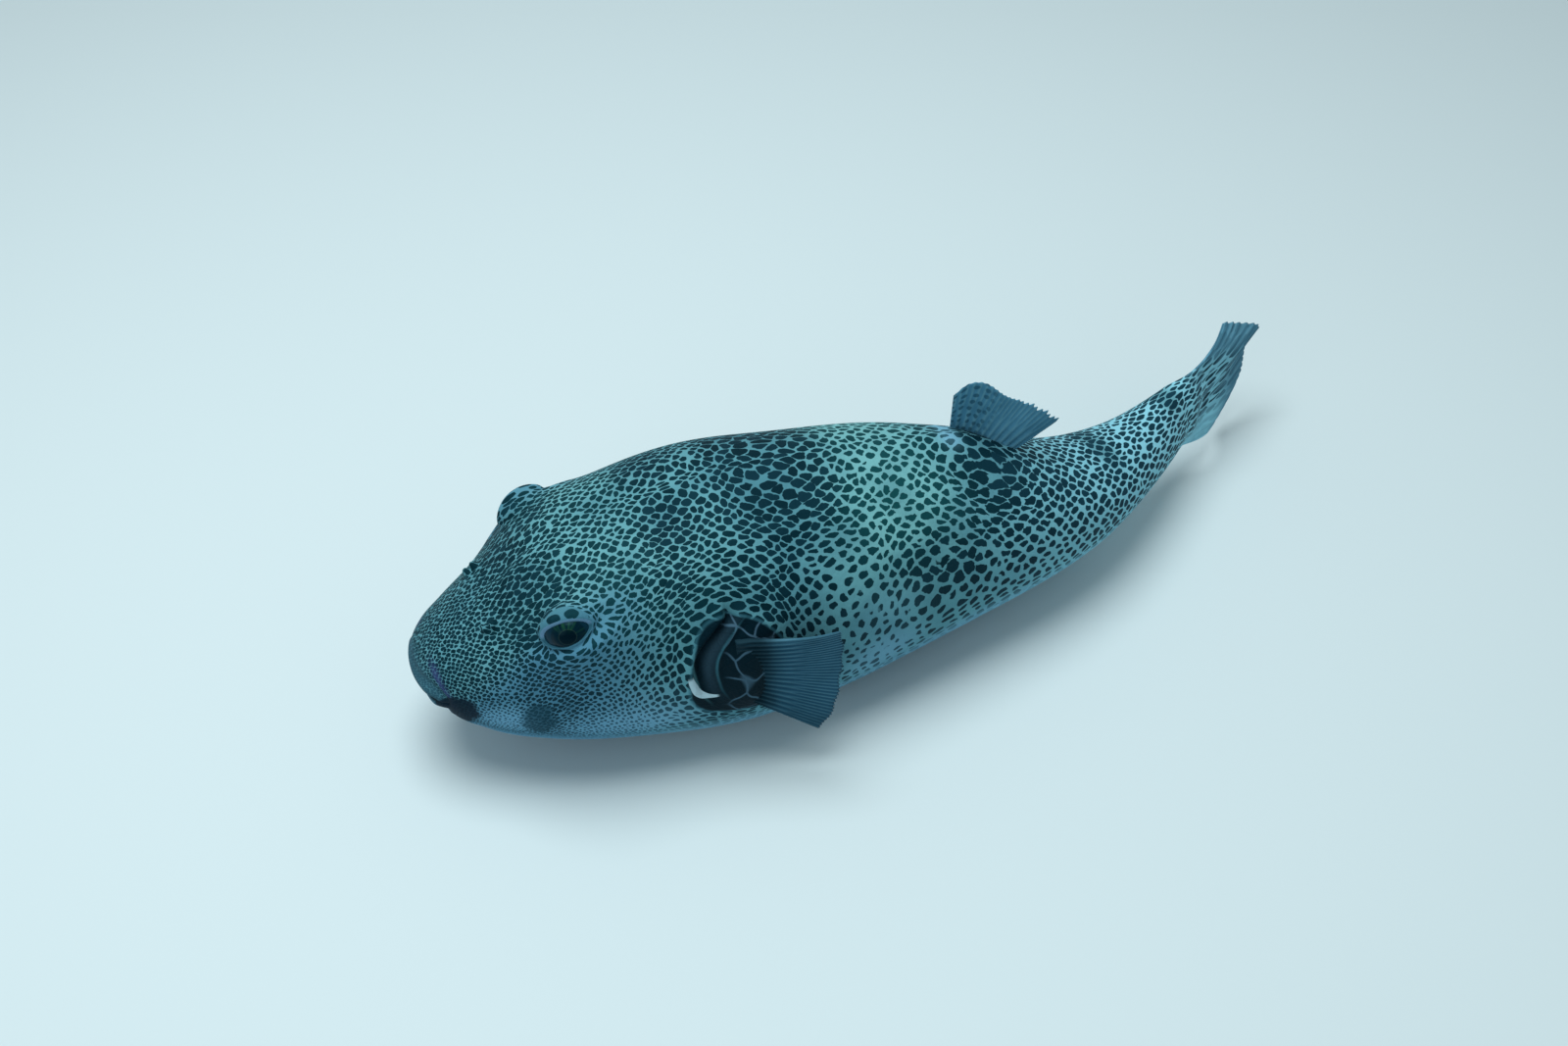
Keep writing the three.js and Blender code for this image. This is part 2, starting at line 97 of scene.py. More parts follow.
PECTORAL_STATION = 250 * MM
PECTORAL_TOP = 139 * MM
PECTORAL_FOOT = 70 * MM
PECTORAL_LENGTH = 66 * MM
PECTORAL_SPLAY = math.radians(15)
PECTORAL_DROOP = math.radians(36)
PECTORAL_RAYS = 17

ANAL_STATION = 512 * MM
ANAL_BASE = 52 * MM
ANAL_LENGTH = 62 * MM
ANAL_CLEARANCE = 14 * MM
ANAL_LEAN = math.radians(20)
ANAL_RAYS = 10

# Station, back, widest line, belly, half width, and the squareness of the two halves.
SECTIONS = np.array(
    [
        (0, 100, 82, 63, 20, 2.2, 2.2),
        (5, 109, 83, 55, 33, 2.2, 2.2),
        (14, 119, 84, 47, 46, 2.2, 2.1),
        (35, 134, 86, 37, 59, 2.2, 2.1),
        (70, 154, 88, 26, 76, 2.3, 2.1),
        (115, 184, 90, 15, 93, 2.6, 2.2),
        (180, 205, 93, 4, 104, 2.6, 2.4),
        (246, 218, 94, -4, 108, 2.4, 2.5),
        (330, 213, 95, -4, 106, 2.1, 2.3),
        (420, 195, 95, 5, 94, 2.1, 2.2),
        (500, 167, 91, 16, 79, 2, 2.1),
        (590, 132, 83, 30, 59, 2, 2),
        (670, 117, 79, 42, 38, 2, 2),
        (755, 113, 77, 42, 18, 2, 2),
    ]
)

# ---- curves and sections --------------------------------------------------------------


def smooth_step(start, end, value):
    t = np.clip((value - start) / (end - start), 0, 1)
    return t * t * (3 - 2 * t)


def mix(a, b, share):
    return a + (b - a) * share


def bell(distance, width):
    return np.exp(-((distance / width) ** 2))


def power(value, exponent):
    """A power that keeps its sign."""
    return np.sign(value) * np.abs(value) ** exponent


def from_back(angle):
    """How far round from the back an angle is, to either side."""
    return np.abs(angle - math.pi / 2)


def on_left(angle):
    """The angle of the same place on the left flank."""
    return np.where(np.cos(angle) < 0, angle, math.pi - angle)


def section_curve(column, scale):
    """A smooth curve through one column of the sections."""
    at = SECTIONS[:, 0] * MM
    size = SECTIONS[:, column] * scale
    steps = np.diff(size)
    spans = np.diff(at)
    slopes = np.empty(len(at))
    slopes[0] = steps[0] / spans[0]
    slopes[-1] = steps[-1] / spans[-1]
    slopes[1:-1] = (steps[:-1] / spans[:-1] + steps[1:] / spans[1:]) / 2

    def curve(station):
        station = np.clip(station, at[0], at[-1])
        i = np.clip(np.searchsorted(at, station) - 1, 0, len(at) - 2)
        span = spans[i]
        p = (station - at[i]) / span
        return (
            (2 * p**3 - 3 * p**2 + 1) * size[i]
            + (p**3 - 2 * p**2 + p) * span * slopes[i]
            + (3 * p**2 - 2 * p**3) * size[i + 1]
            + (p**3 - p**2) * span * slopes[i + 1]
        )

    return curve


back_at, wide_at, belly_at, half_at = (section_curve(i, MM) for i in range(1, 5))
upper_at, lower_at = (section_curve(i, 1) for i in (5, 6))

SPINE_STATIONS = np.arange(-60, 1000) * MM
SPINE_HEADINGS = TAIL_TURN * smooth_step(BEND_START, BEND_END, SPINE_STATIONS)
SPINE_X = np.cumsum(np.cos(SPINE_HEADINGS)) * MM
SPINE_X -= np.interp(0, SPINE_STATIONS, SPINE_X) + BELLY_STATION
SPINE_Y = np.cumsum(np.sin(SPINE_HEADINGS)) * MM


def in_frame(station, out, height):
    """The point at a station, a distance out to the right and a height."""
    heading = np.interp(station, SPINE_STATIONS, SPINE_HEADINGS)
    lean = LEAN + TWIST * smooth_step(TWIST_START, TWIST_END, station)
    across = out * np.cos(lean) + height * np.sin(lean)
    x = np.interp(station, SPINE_STATIONS, SPINE_X)
    y = np.interp(station, SPINE_STATIONS, SPINE_Y)
    return np.stack(
        [
            x - across * np.sin(heading),
            y + across * np.cos(heading),
            height * np.cos(lean) - out * np.sin(lean),
        ],
        -1,
    )


def outline_at(station, angle):
    """Out and height of the plain section, with no mounds on it."""
    rising = np.sin(angle) >= 0
    squareness = 2 / np.where(rising, upper_at(station), lower_at(station))
    wide = wide_at(station)
    height = np.where(rising, back_at(station) - wide, wide - belly_at(station))
    return (
        half_at(station) * power(np.cos(angle), squareness),
        wide + height * power(np.sin(angle), squareness),
    )


def setback_at(station, rise):
    """How far the snout slopes back; rise is 1 at the back and -1 at the belly."""
    fade = 1 - smooth_step(0, SNOUT_LENGTH, station)
    return CHIN_SETBACK * fade * (1 - rise) / 2


def body_point(station, angle):
    """A point of the body from the lips to the root of the tail fin."""
    out, height = outline_at(station, angle)
    along = (station - EYE_STATION) / BROW_LENGTH
    around = (from_back(angle) - BROW_ANGLE) / BROW_SPREAD
    pad_along = (station - DORSAL_STATION) / PAD_LENGTH
    pad_around = (angle - math.pi / 2) / PAD_SPREAD
    mound = BROW_RISE * np.exp(-along * along - around * around)
    mound += PAD_RISE * np.exp(-pad_along * pad_along - pad_around * pad_around)
    return in_frame(
        station + setback_at(station, np.sin(angle)),
        out + mound * np.cos(angle),
        height + mound * np.sin(angle),
    )


# ---- mouth: the rings in front of the lip line run round the opening ------------------

LIP_LINE = 16 * MM
FACE_STATION = 5 * MM  # the front of the face is a shallow dome inside this section
RIM = -20 * MM  # rows from here to the lip line cross the lips
THROAT = -36 * MM  # and rows from here to the rim line the mouth
THROAT_DEPTH = 15 * MM
MOUTH_HEIGHT = 84 * MM
MOUTH_HALF_WIDTH = 38 * MM
MOUTH_HALF_GAPE = 3.5 * MM
MOUTH_SMILE = 5 * MM  # the corners lie this much higher than the middle
LIP_RADIUS = 6.2 * MM
LIP_END_RADIUS = 1.8 * MM


def face_at(out, height):
    """Station and rise of the face's surface at a place seen from the front."""

    def spread(station):
        wide = wide_at(station)
        up = height >= wide
        squareness = np.where(up, upper_at(station), lower_at(station))
        reach = np.where(up, back_at(station) - wide, wide - belly_at(station))
        tall = np.abs(height - wide) / reach
        broad = np.abs(out) / half_at(station)
        size = (tall**squareness + broad**squareness) ** (1 / squareness)
        rise = np.sign(height - wide) * tall ** (squareness / 2)
        return size, rise

    near = np.full(np.shape(out), FACE_STATION)
    far = np.full(np.shape(out), 2 * LIP_LINE)
    for _ in range(24):
        middle = (near + far) / 2
        outside = spread(middle)[0] > 1
        near = np.where(outside, middle, near)
        far = np.where(outside, far, middle)
    size, rise = spread(near)
    station = np.where(size < 1, FACE_STATION * size**2, near)
    return station, np.clip(rise, -1, 1)


def mouth_rim(angle):
    out = MOUTH_HALF_WIDTH * np.cos(angle)
    height = MOUTH_HEIGHT + MOUTH_HALF_GAPE * np.sin(angle)
    return out, height + MOUTH_SMILE * np.cos(angle) ** 2


def lip_point(row, angle):
    """A point of the lips, between the rim of the mouth and the lip line."""
    share = np.clip((row - RIM) / (LIP_LINE - RIM), 0, 1)
    rim_out, rim_height = mouth_rim(angle)
    outer_out, outer_height = outline_at(LIP_LINE, angle)
    out = mix(rim_out, outer_out, share)
    height = mix(rim_height, outer_height, share)
    station, rise = face_at(out, height)
    distance = np.hypot(out - rim_out, height - rim_height)
    radius = mix(LIP_END_RADIUS, LIP_RADIUS, np.abs(np.sin(angle)) ** 0.8)
    inner = np.sqrt(np.clip(1 - ((distance - radius) / radius) ** 2, 0, 1))
    outer = bell(distance - radius, radius * 1.25)
    roll = radius * np.where(distance < radius, inner, outer)
    groove = 1.8 * MM * bell(distance - 2.6 * radius, radius * 0.55)
    inside = np.clip((RIM - row) / (RIM - THROAT), 0, 1)
    out = out * (1 - 0.3 * inside)
    belly_out = 1 + 1.6 * np.sin(math.pi * inside)
    height = np.where(
        inside > 0, MOUTH_HEIGHT + (height - MOUTH_HEIGHT) * belly_out, height
    )
    station = station + setback_at(station, rise) + THROAT_DEPTH * inside
    return in_frame(station - roll + groove, out, height)


# ---- tail fin: the rings behind the tail run round the blade --------------------------


def ray_ridges(across, along, rays, branching=0.55):
    """From -1 between two rays to 1 on one. Each ray forks at its branching."""
    plain = np.cos(TURN * rays * across)
    forked = np.cos(TURN * 2 * rays * across + math.pi)
    return mix(plain, forked, smooth_step(branching, branching + 0.25, along))


def caudal_point(row, angle):
    """A point of the tail fin's blade, or of the fleshy root that leads into it."""
    along = (row - STANDARD_LENGTH) / CAUDAL_LENGTH
    across = (1 - np.sin(angle)) / 2
    spread = 1 - 2 * across
    root_out, root_height = outline_at(STANDARD_LENGTH, angle)
    ridges = ray_ridges(across, along, CAUDAL_RAYS)
    fringe = 1.6 * MM * (ray_ridges(across, 1, CAUDAL_RAYS) - 1)
    tip = CAUDAL_LENGTH - CAUDAL_ROUNDING * np.abs(spread) ** 1.9 + fringe
    tip += 14 * MM * bell(spread - 0.5, 0.22) - 16 * MM * bell(spread + 0.2, 0.45)
    tip_height = wide_at(STANDARD_LENGTH) + CAUDAL_HALF_HEIGHT * spread
    tip_height -= 7 * MM * bell(spread - 0.5, 0.3)
    flare = mix(along, along**1.25, np.clip(spread, 0, 1))
    height = mix(root_height, tip_height, flare)
    station = STANDARD_LENGTH + tip * along
    flesh = (1 - smooth_step(0, 0.42, along)) ** 1.5
    side = np.sign(np.cos(angle)) * np.clip(np.abs(np.cos(angle)) * 12, 0, 1)
    web = 0.55 * MM * (1.6 + ridges * smooth_step(0.04, 0.25, along))
    web *= 1 - 0.45 * along
    closing = 1 - smooth_step(0.985, 1, along)
    ripple = 2.4 * MM * along * np.sin(TURN * (1.6 * across + 0.55 * along) + 0.6)
    sway = -CAUDAL_CURL * np.sin(math.pi * along) + ripple
    sway -= 10 * MM * bell(spread - 0.42, 0.28) * along**3
    out = root_out * flesh + side * web * (1 - flesh) * closing + sway
    return in_frame(station, out, height)


# ---- what stands on the skin ----------------------------------------------------------

EYES = [
    (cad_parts["eye_left"].name, -1),
    (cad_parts["eye_right"].name, 1),
]
EYEBALL_REACH = np.array([22.5, 19.5, 19.4]) * MM  # back, up and out
LID_HALF_LENGTH = 20 * MM  # of the opening between the lids, where it meets the skin
LID_HALF_HEIGHT = 7.6 * MM
RIGHT_LID_DROP = 6 * MM  # the right lid's marks lie this much lower
GAZE_DROP = math.radians(14)  # below the way that the skin faces
LID_SPOTS = [  # back and up from the middle of the eye, and half the width
    (-3.4 * MM, 9.2 * MM, 4 * MM),
    (6.4 * MM, 10 * MM, 4.8 * MM),
]

NOSTRIL_STATION = 66 * MM
NOSTRIL_ANGLE = math.radians(25)

GILL_TOP = (236 * MM, math.radians(155))  # station and angle
GILL_FOOT = (219 * MM, math.radians(188))
GILL_CURVE = 20 * MM


def surface_point(row, angle):
    """The body's surface before its small features, over every kind of row."""
    body = body_point(np.clip(row, LIP_LINE, STANDARD_LENGTH), angle)
    lips = lip_point(np.minimum(row, LIP_LINE), angle)
    fin = caudal_point(np.maximum(row, STANDARD_LENGTH), angle)
    front = np.where((row < LIP_LINE)[..., None], lips, body)
    return np.where((row > STANDARD_LENGTH)[..., None], fin, front)


def normal_at(row, angle):
    step = 0.5 * MM
    turn = 0.004
    along = surface_point(row + step, angle) - surface_point(row - step, angle)
    around = surface_point(row, angle + turn) - surface_point(row, angle - turn)
    normal = np.cross(around, along)
    return normal / np.maximum(np.linalg.norm(normal, axis=-1, keepdims=True), 1e-12)


def flank_angle(side, angle):
    """The angle of a place on one side that is given for the left side."""
    return angle if side < 0 else math.pi - angle


def eye_frame(name, side):
    """The eyeball's centre, and its directions back, up and out of the head."""
    low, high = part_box(name)
    centre = np.array((low + high) / 2)
    angle = flank_angle(side, math.pi / 2 + BROW_ANGLE - 0.07)
    station = EYE_STATION
    here = in_frame(station, *outline_at(station, angle))
    step = 4 * MM
    along = in_frame(station + step, *outline_at(station + step, angle)) - here
    around = in_frame(station, *outline_at(station, angle + 0.03)) - here
    out = np.cross(around, along)
    out /= np.linalg.norm(out)
    back = along - out * (along @ out)
    back /= np.linalg.norm(back)
    up = np.cross(out, back)
    up = up if up[2] > 0 else -up
    dropped = out * math.cos(GAZE_DROP) - up * math.sin(GAZE_DROP)
    up = up * math.cos(GAZE_DROP) + out * math.sin(GAZE_DROP)
    return centre, np.stack([back, up, dropped])


def lid_rise(ratio, upper):
    """How far above the eyeball the lids lie, by the share of the opening's size."""
    knots = np.array([0, 0.92, 1, 1.05, 1.14, 1.3, 1.5, 1.7, 2.4])
    top = np.array([-4, -2.6, 0.6, 1.9, 2.8, 3.2, 2.4, 1.0, 0]) * MM
    foot = np.array([-4, -2.6, 0.3, 1.1, 1.5, 1.2, 0.4, -0.6, 0]) * MM
    share = smooth_step(-0.5, 0.7, upper)
    return mix(np.interp(ratio, knots, foot), np.interp(ratio, knots, top), share)


def add_lids(points):
    """Draws the skin up over both eyeballs, open in front of each."""
    ratios = np.full(len(points), 9.0)
    uppers = np.zeros(len(points))
    marks = np.zeros(len(points))
    for name, side in EYES:
        centre, axes = eye_frame(name, side)
        away = (points - centre) @ axes.T
        near = (np.linalg.norm(away, axis=1) < 60 * MM) & (away[:, 2] > -8 * MM)
        local = away[near]
        across = np.hypot(local[:, 0] / LID_HALF_LENGTH, local[:, 1] / LID_HALF_HEIGHT)
        upper = local[:, 1] / LID_HALF_HEIGHT / np.maximum(across, 0.05)
        distance = np.linalg.norm(local, axis=1)
        ball = 1 / np.linalg.norm(local / distance[:, None] / EYEBALL_REACH, axis=1)
        hold = 1 - smooth_step(1.3, 2.2, across)
        reach = mix(distance, ball + lid_rise(across, upper), hold)
        crease = bell(across - 1.85, 0.16) * smooth_step(-0.4, 0.4, upper)
        reach -= 1.1 * MM * crease
        clear = ball + 0.9 * MM * smooth_step(1.02, 1.2, across)
        reach = np.where(across > 1.02, np.maximum(reach, clear), reach)
        points[near] = centre + (local * (reach / distance)[:, None]) @ axes
        ratios[near] = across
        uppers[near] = upper
        height = local[:, 1] + (RIGHT_LID_DROP if side > 0 else 0)
        lid = np.hypot((local[:, 0] - 2 * MM) / 16.5, (height - 5 * MM) / 9.4) / MM
        bare = (1 - smooth_step(0.85, 1.05, lid)) * (local[:, 1] > 0)
        marks[near] = np.maximum(bare, 1 - smooth_step(1.1, 1.22, across))
        for back, up, size in LID_SPOTS:
            oval = np.hypot(local[:, 0] - back, (height - up) * 1.8) / size
            spot = 2 - 2 * smooth_step(0.6, 1.4, oval)
            marks[near] = np.maximum(marks[near], spot * (across > 1.1))
    return points, ratios, uppers, marks


def nostril_rise(row, angle):
    """Two short lobes on each side of the snout."""
    rise = np.zeros(len(row))
    for side in (-1, 1):
        place = math.pi / 2 - side * NOSTRIL_ANGLE
        out, height = outline_at(NOSTRIL_STATION, place)
        around = (angle - place) * np.hypot(out, height - wide_at(NOSTRIL_STATION))
        for along in (-1, 1):
            distance = np.hypot(row - NOSTRIL_STATION - along * 3.4 * MM, around * 0.85)
            rise += 4.8 * MM * np.exp(-((distance / (2.9 * MM)) ** 4))
        distance = np.hypot(row - NOSTRIL_STATION, around)
        rise += 1.6 * MM * bell(distance, 9 * MM)
    return rise


def gill_station(share):
    """The gill opening's station, at a share of the way down it."""
    station = mix(GILL_TOP[0], GILL_FOOT[0], share)
    return station - GILL_CURVE * np.sin(math.pi * share)


def gill_place(row, angle):
    """Distance behind the gill opening, and the share of the way down it."""
    left = on_left(angle)
    share = (left - GILL_TOP[1]) / (GILL_FOOT[1] - GILL_TOP[1])
    return row - gill_station(np.clip(share, 0, 1)), share


def gill_rise(row, angle):
    """The opening in front of each pectoral fin: a deep fold under a soft flap.

    A second, lower fold of thin skin stands inside it.
    """
    behind, share = gill_place(row, angle)
    ends = smooth_step(-0.3, 0.15, share) * (1 - smooth_step(0.5, 0.95, share))
    fold = np.where(behind < 0, bell(behind, 2 * MM), bell(behind, 7 * MM))
    flap = bell(behind + 5.5 * MM, 4.5 * MM)
    inner = bell(behind - 15 * MM, 3 * MM) * bell(share - 0.45, 0.5)
    return (3.4 * MM * flap - 9 * MM * fold + 3.2 * MM * inner) * ends


def pectoral_flesh(row, angle):
    """The fleshy base that each pectoral fin stands on."""
    left = on_left(angle)
    _, height = outline_at(row, left)
    middle = (PECTORAL_TOP + PECTORAL_FOOT) / 2
    along = (row - PECTORAL_STATION + 1 * MM) / (19 * MM)
    tall = (height - middle) / (39 * MM)
    flank = np.cos(angle) ** 2 > 0.2
    return 10.5 * MM * np.exp(-(along**2) - tall**4) * flank


def belly_folds(row, angle):
    """Fine pleats of loose skin low on each flank, behind the pectoral fin."""
    left = on_left(angle)
    low = math.radians(218)
    pleats = np.sin((left - low) * 42 + 3 * np.sin(row * 14))
    place = bell(left - low, 0.16) * smooth_step(150 * MM, 260 * MM, row)
    return 0.9 * MM * pleats * place * (1 - smooth_step(600 * MM, 700 * MM, row))


# ---- the pelt: a flat sheet of rows and angles, finer at the features, then wrapped ----

PELT_LENGTHS = [  # row and the number of rows up to it
    (THROAT, 0),
    (RIM, 8),
    (LIP_LINE, 22),
    (280 * MM, 106),
    (740 * MM, 222),
    (CAUDAL_END, 276),
]
PELT_ROWS = PELT_LENGTHS[-1][1]
PELT_COLUMNS = 208
SEAM_GAP = 0.00002  # points closer than this are joined
FLOOR_GAP = 0.2 * MM  # the skin stays at least this far above the floor
FLOOR_SOFTNESS = 1.2 * MM  # and flattens towards it over about this height
ROW_PLACES = np.array([row for row, _ in PELT_LENGTHS])
ROW_COUNTS = np.array([count for _, count in PELT_LENGTHS])


def deselect_all():
    if bpy.context.object and bpy.context.object.mode != "OBJECT":
        bpy.ops.object.mode_set(mode="OBJECT")
    bpy.ops.object.select_all(action="DESELECT")


def named(name):
    """Names the piece that was just added."""
    piece = bpy.context.object
    piece.name = name
    piece.data.name = name
    return piece


def unit_ball(name, segments, rings):
    deselect_all()
    bpy.ops.mesh.primitive_uv_sphere_add(segments=segments, ring_count=rings, radius=1)
    return named(name)


def sheet_grid(name, rows, columns):
    """A flat grid, one unit long and one unit wide."""
    deselect_all()
    bpy.ops.mesh.primitive_grid_add(
        x_subdivisions=rows, y_subdivisions=columns, size=1, location=(0, 0, 0)
    )
    return named(name)


def read_points(piece):
    points = np.empty(len(piece.data.vertices) * 3)
    piece.data.vertices.foreach_get("co", points)
    return points.reshape(-1, 3)


def write_points(piece, points):
    piece.data.vertices.foreach_set("co", points.ravel())
    piece.data.update()


def pelt_place(points):
    """Row and angle of points on the flat pelt. The sheet's long edges are the belly."""
    row = np.interp((points[:, 0] + 0.5) * PELT_ROWS, ROW_COUNTS, ROW_PLACES)
    angle = (points[:, 1] + 0.5) * TURN - math.pi / 2
    return row, angle


def refine(piece, chosen, cuts):
    """Subdivides the faces whose centres are chosen by their row and angle."""
    mesh = piece.data
    centres = np.empty(len(mesh.polygons) * 3)
    mesh.polygons.foreach_get("center", centres)
    row, angle = pelt_place(centres.reshape(-1, 3))
    marks = chosen(row, angle)
    mesh.vertices.foreach_set("select", np.zeros(len(mesh.vertices), bool))
    mesh.edges.foreach_set("select", np.zeros(len(mesh.edges), bool))
    mesh.polygons.foreach_set("select", marks)
    bpy.ops.object.mode_set(mode="EDIT")
    bpy.ops.mesh.select_mode(type="FACE")
    bpy.ops.mesh.subdivide(number_cuts=cuts)
    bpy.ops.object.mode_set(mode="OBJECT")


def near_eye(row, angle, reach):
    around = np.abs(from_back(angle) - BROW_ANGLE + 0.03)
    return np.hypot(row - EYE_STATION, around * 100 * MM) < reach


def near_nostril(row, angle):
    around = np.abs(from_back(angle) - NOSTRIL_ANGLE) * 66 * MM
    return np.hypot(row - NOSTRIL_STATION, around) < 13 * MM


def near_gill(row, angle):
    left = on_left(angle)
    middle = math.radians(172)
    return (np.abs(row - 222 * MM) < 26 * MM) & (np.abs(left - middle) < 0.42)


# ---- where the spots lie: a map of the skin on which every spot has the same size ------

SPOT_PEAK = 100 * MM  # the spots are smallest for the body's girth here
SPOT_BASE = 1.62  # log of spots to the girth's radius, far from the peak
SPOT_GAIN = 1.22
TAIL_LOSS = 0.04
SPOT_WIDTH = 3.5
MAP_ROWS = 420
MAP_COLUMNS = 241
BACK_COLUMN = MAP_COLUMNS // 2
SPOT_ASPECTS = [  # station in mm, and the spots' width over their length
    (0, 0.95), (50, 0.88), (95, 0.72), (150, 0.76), (210, 0.96), (300, 0.9),
    (490, 0.82), (560, 0.92), (620, 0.8), (680, 0.48), (740, 0.34), (800, 0.28),
    (900, 0.26),
]


def spot_map():
    """Complex places of the spots' pattern, over a table of rows and angles.

    The skin is laid out on a cylinder by its arc lengths, and an analytic function then
    spreads that cylinder so that the spots keep their shapes but not their sizes.
    """
    rows = np.linspace(THROAT, CAUDAL_END, MAP_ROWS)
    angles = np.linspace(-math.pi / 2, 3 * math.pi / 2, MAP_COLUMNS)
    grid_rows, grid_angles = np.meshgrid(rows, angles, indexing="ij")
    points = surface_point(grid_rows, grid_angles)
    around = np.linalg.norm(np.diff(points, axis=1), axis=2)
    arc = np.concatenate([np.zeros((len(rows), 1)), np.cumsum(around, axis=1)], axis=1)
    girth = arc[:, -1:]
    back = arc[:, BACK_COLUMN, None]
    turns = (arc - back) / girth * TURN
    radius = girth[:, 0] / TURN
    along = np.linalg.norm(np.diff(points, axis=0), axis=2).mean(axis=1)
    stations, aspects = np.array(SPOT_ASPECTS).T
    aspect = np.interp(rows, stations * MM, aspects)
    middle = (radius[1:] + radius[:-1]) / 2
    steps = along / middle * (aspect[1:] + aspect[:-1]) / 2
    travel = np.concatenate([[0], np.cumsum(steps)])
    travel -= np.interp(SPOT_PEAK, rows, travel)
    tail = np.interp(STANDARD_LENGTH, rows, travel)

    def density(place):
        gain = SPOT_GAIN / (1 + (place / SPOT_WIDTH) ** 2)
        loss = TAIL_LOSS / (1 + ((place - tail) / SPOT_WIDTH) ** 2)
        return np.exp(SPOT_BASE + gain - loss)

    spine = density(travel + 0j)
    lengthwise = np.concatenate(
        [[0], np.cumsum((spine[1:] + spine[:-1]) / 2 * np.diff(travel))]
    )
    places = travel[:, None] + 1j * turns
    crosswise = density(places) * 1j
    strips = (crosswise[:, 1:] + crosswise[:, :-1]) / 2 * np.diff(turns, axis=1)
    sweep = np.concatenate([np.zeros((len(rows), 1)), np.cumsum(strips, axis=1)], 1)
    sweep -= sweep[:, BACK_COLUMN, None]
    return rows, angles, lengthwise[:, None] + sweep, arc - back


def look_up(table, rows, angles, row, angle):
    """Values of a table between its rows and angles."""
    i = (row - rows[0]) / (rows[1] - rows[0])
    j = (angle - angles[0]) / (angles[1] - angles[0])
    i0 = np.clip(i.astype(int), 0, len(rows) - 2)
    j0 = np.clip(j.astype(int), 0, len(angles) - 2)
    u = i - i0
    v = j - j0
    near = table[i0, j0] * (1 - v) + table[i0, j0 + 1] * v
    far = table[i0 + 1, j0] * (1 - v) + table[i0 + 1, j0 + 1] * v
    return near * (1 - u) + far * u


def paint_corners(piece, name, *values):
    """Gives each face corner up to three numbers, which the seam doesn't mix."""
    corners = np.empty(len(piece.data.loops), np.int64)
    piece.data.loops.foreach_get("vertex_index", corners)
    triples = np.zeros((len(corners), 3), np.float32)
    for column, value in enumerate(values):
        triples[:, column] = value[corners]
    layer = piece.data.attributes.new(name, "FLOAT_VECTOR", "CORNER")
    layer.data.foreach_set("vector", triples.ravel())


def close_up():
    """Joins the new piece's seam, fills what holes are left, and smooths it."""
    bpy.ops.object.mode_set(mode="EDIT")
    bpy.ops.mesh.select_all(action="SELECT")
    bpy.ops.mesh.remove_doubles(threshold=SEAM_GAP)
    bpy.ops.mesh.select_all(action="DESELECT")
    bpy.ops.mesh.select_mode(type="EDGE")
    bpy.ops.mesh.select_non_manifold(
        extend=False, use_wire=True, use_boundary=True, use_multi_face=False,
        use_non_contiguous=False, use_verts=False,
    )
    bpy.ops.mesh.fill_holes(sides=0)
    bpy.ops.mesh.select_all(action="SELECT")
    bpy.ops.mesh.normals_make_consistent(inside=False)
    bpy.ops.object.mode_set(mode="OBJECT")
    bpy.ops.object.shade_smooth()


# ---- markings: soft places on the skin, mirrored on both flanks ------------------------

# Each place is a station, degrees down from the back, a half length, half degrees and a
# strength. The dark saddles have bigger spots in a thinner net.
SADDLES = [
    (214, 16, 26, 15, 1.0),
    (304, 12, 50, 32, 1.0),
    (286, 60, 28, 14, 0.9),
    (202, 42, 24, 16, 0.6),
    (252, 52, 18, 14, 0.5),
    (418, 72, 54, 21, 0.75),
    (492, 24, 42, 26, 0.75),
    (92, 14, 30, 20, 0.7),
    (120, 24, 16, 14, 0.6),
    (98, 46, 24, 26, 0.8),
    (624, 14, 14, 34, 0.8),
    (735, 16, 16, 34, 0.8),
]
PALE_PLACES = [
    (62, 97, 24, 11, 1.0),
    (158, 103, 48, 12, 1.0),
    (365, 106, 34, 13, 0.8),
    (372, 84, 30, 12, 0.25),
    # a painted highlight on the mound in front of the dorsal fin
    (468, 5, 9, 7, 1.0),
]
# Painted shade: dark places in front of and below each eye, where the cheek lies in shade.
CHEEK_SHADE_PLACES = [(86, 96, 13, 13, 1.0), (108, 82, 14, 12, 0.45)]
# Painted shade at the corners of the mouth, where the open mouth lies in shade.
MOUTH_SHADE_PLACES = [(4, 99, 27, 20, 1.0), (14, 90, 22, 17, 1.0)]
GREEN_PLACES = [(400, 30, 60, 42, 1.0), (160, 30, 80, 40, 0.4)]
APART_PLACES = [  # the spots stand apart here
    (326, 60, 30, 16, 0.9),
    (352, 80, 40, 17, 1.0),
    (420, 100, 60, 16, 0.8),
    (520, 90, 60, 30, 0.5),
    (150, 72, 30, 16, 0.5),
]
WORM_PLACES = [  # and here they run together into worms
    (394, 36, 56, 40, 0.7),
    (492, 40, 56, 40, 1.0),
    (345, 34, 40, 24, 0.7),
    (190, 40, 30, 24, 0.8),
    (420, 74, 60, 18, 0.7),
    (566, 40, 30, 40, 0.5),
]


def soft_places(places, row, angle):
    down = np.degrees(from_back(angle))
    total = np.zeros(len(row))
    for station, middle, half_length, half_turn, strength in places:
        away = ((row - station * MM) / (half_length * MM)) ** 2
        away += ((down - middle) / half_turn) ** 2
        total = np.maximum(total, strength * np.exp(-(away**1.5) * 0.7))
    return total


PATCH_STATION = 240 * MM
PATCH_ANGLE = math.radians(88)  # down from the back
PATCH_LENGTH = 41 * MM
PATCH_HEIGHT = 41 * MM
PATCH_GIRTH = 106 * MM
PATCH_GRIP = 10 * MM
PATCH_REACH = 22 * MM
EYE_GIRTH = 96 * MM
EYE_HOLD = 15 * MM  # out to here the net is drawn in by the grip
EYE_GRIP = 12 * MM
EYE_DRAW = 16 * MM  # and beyond it less and less, over this distance


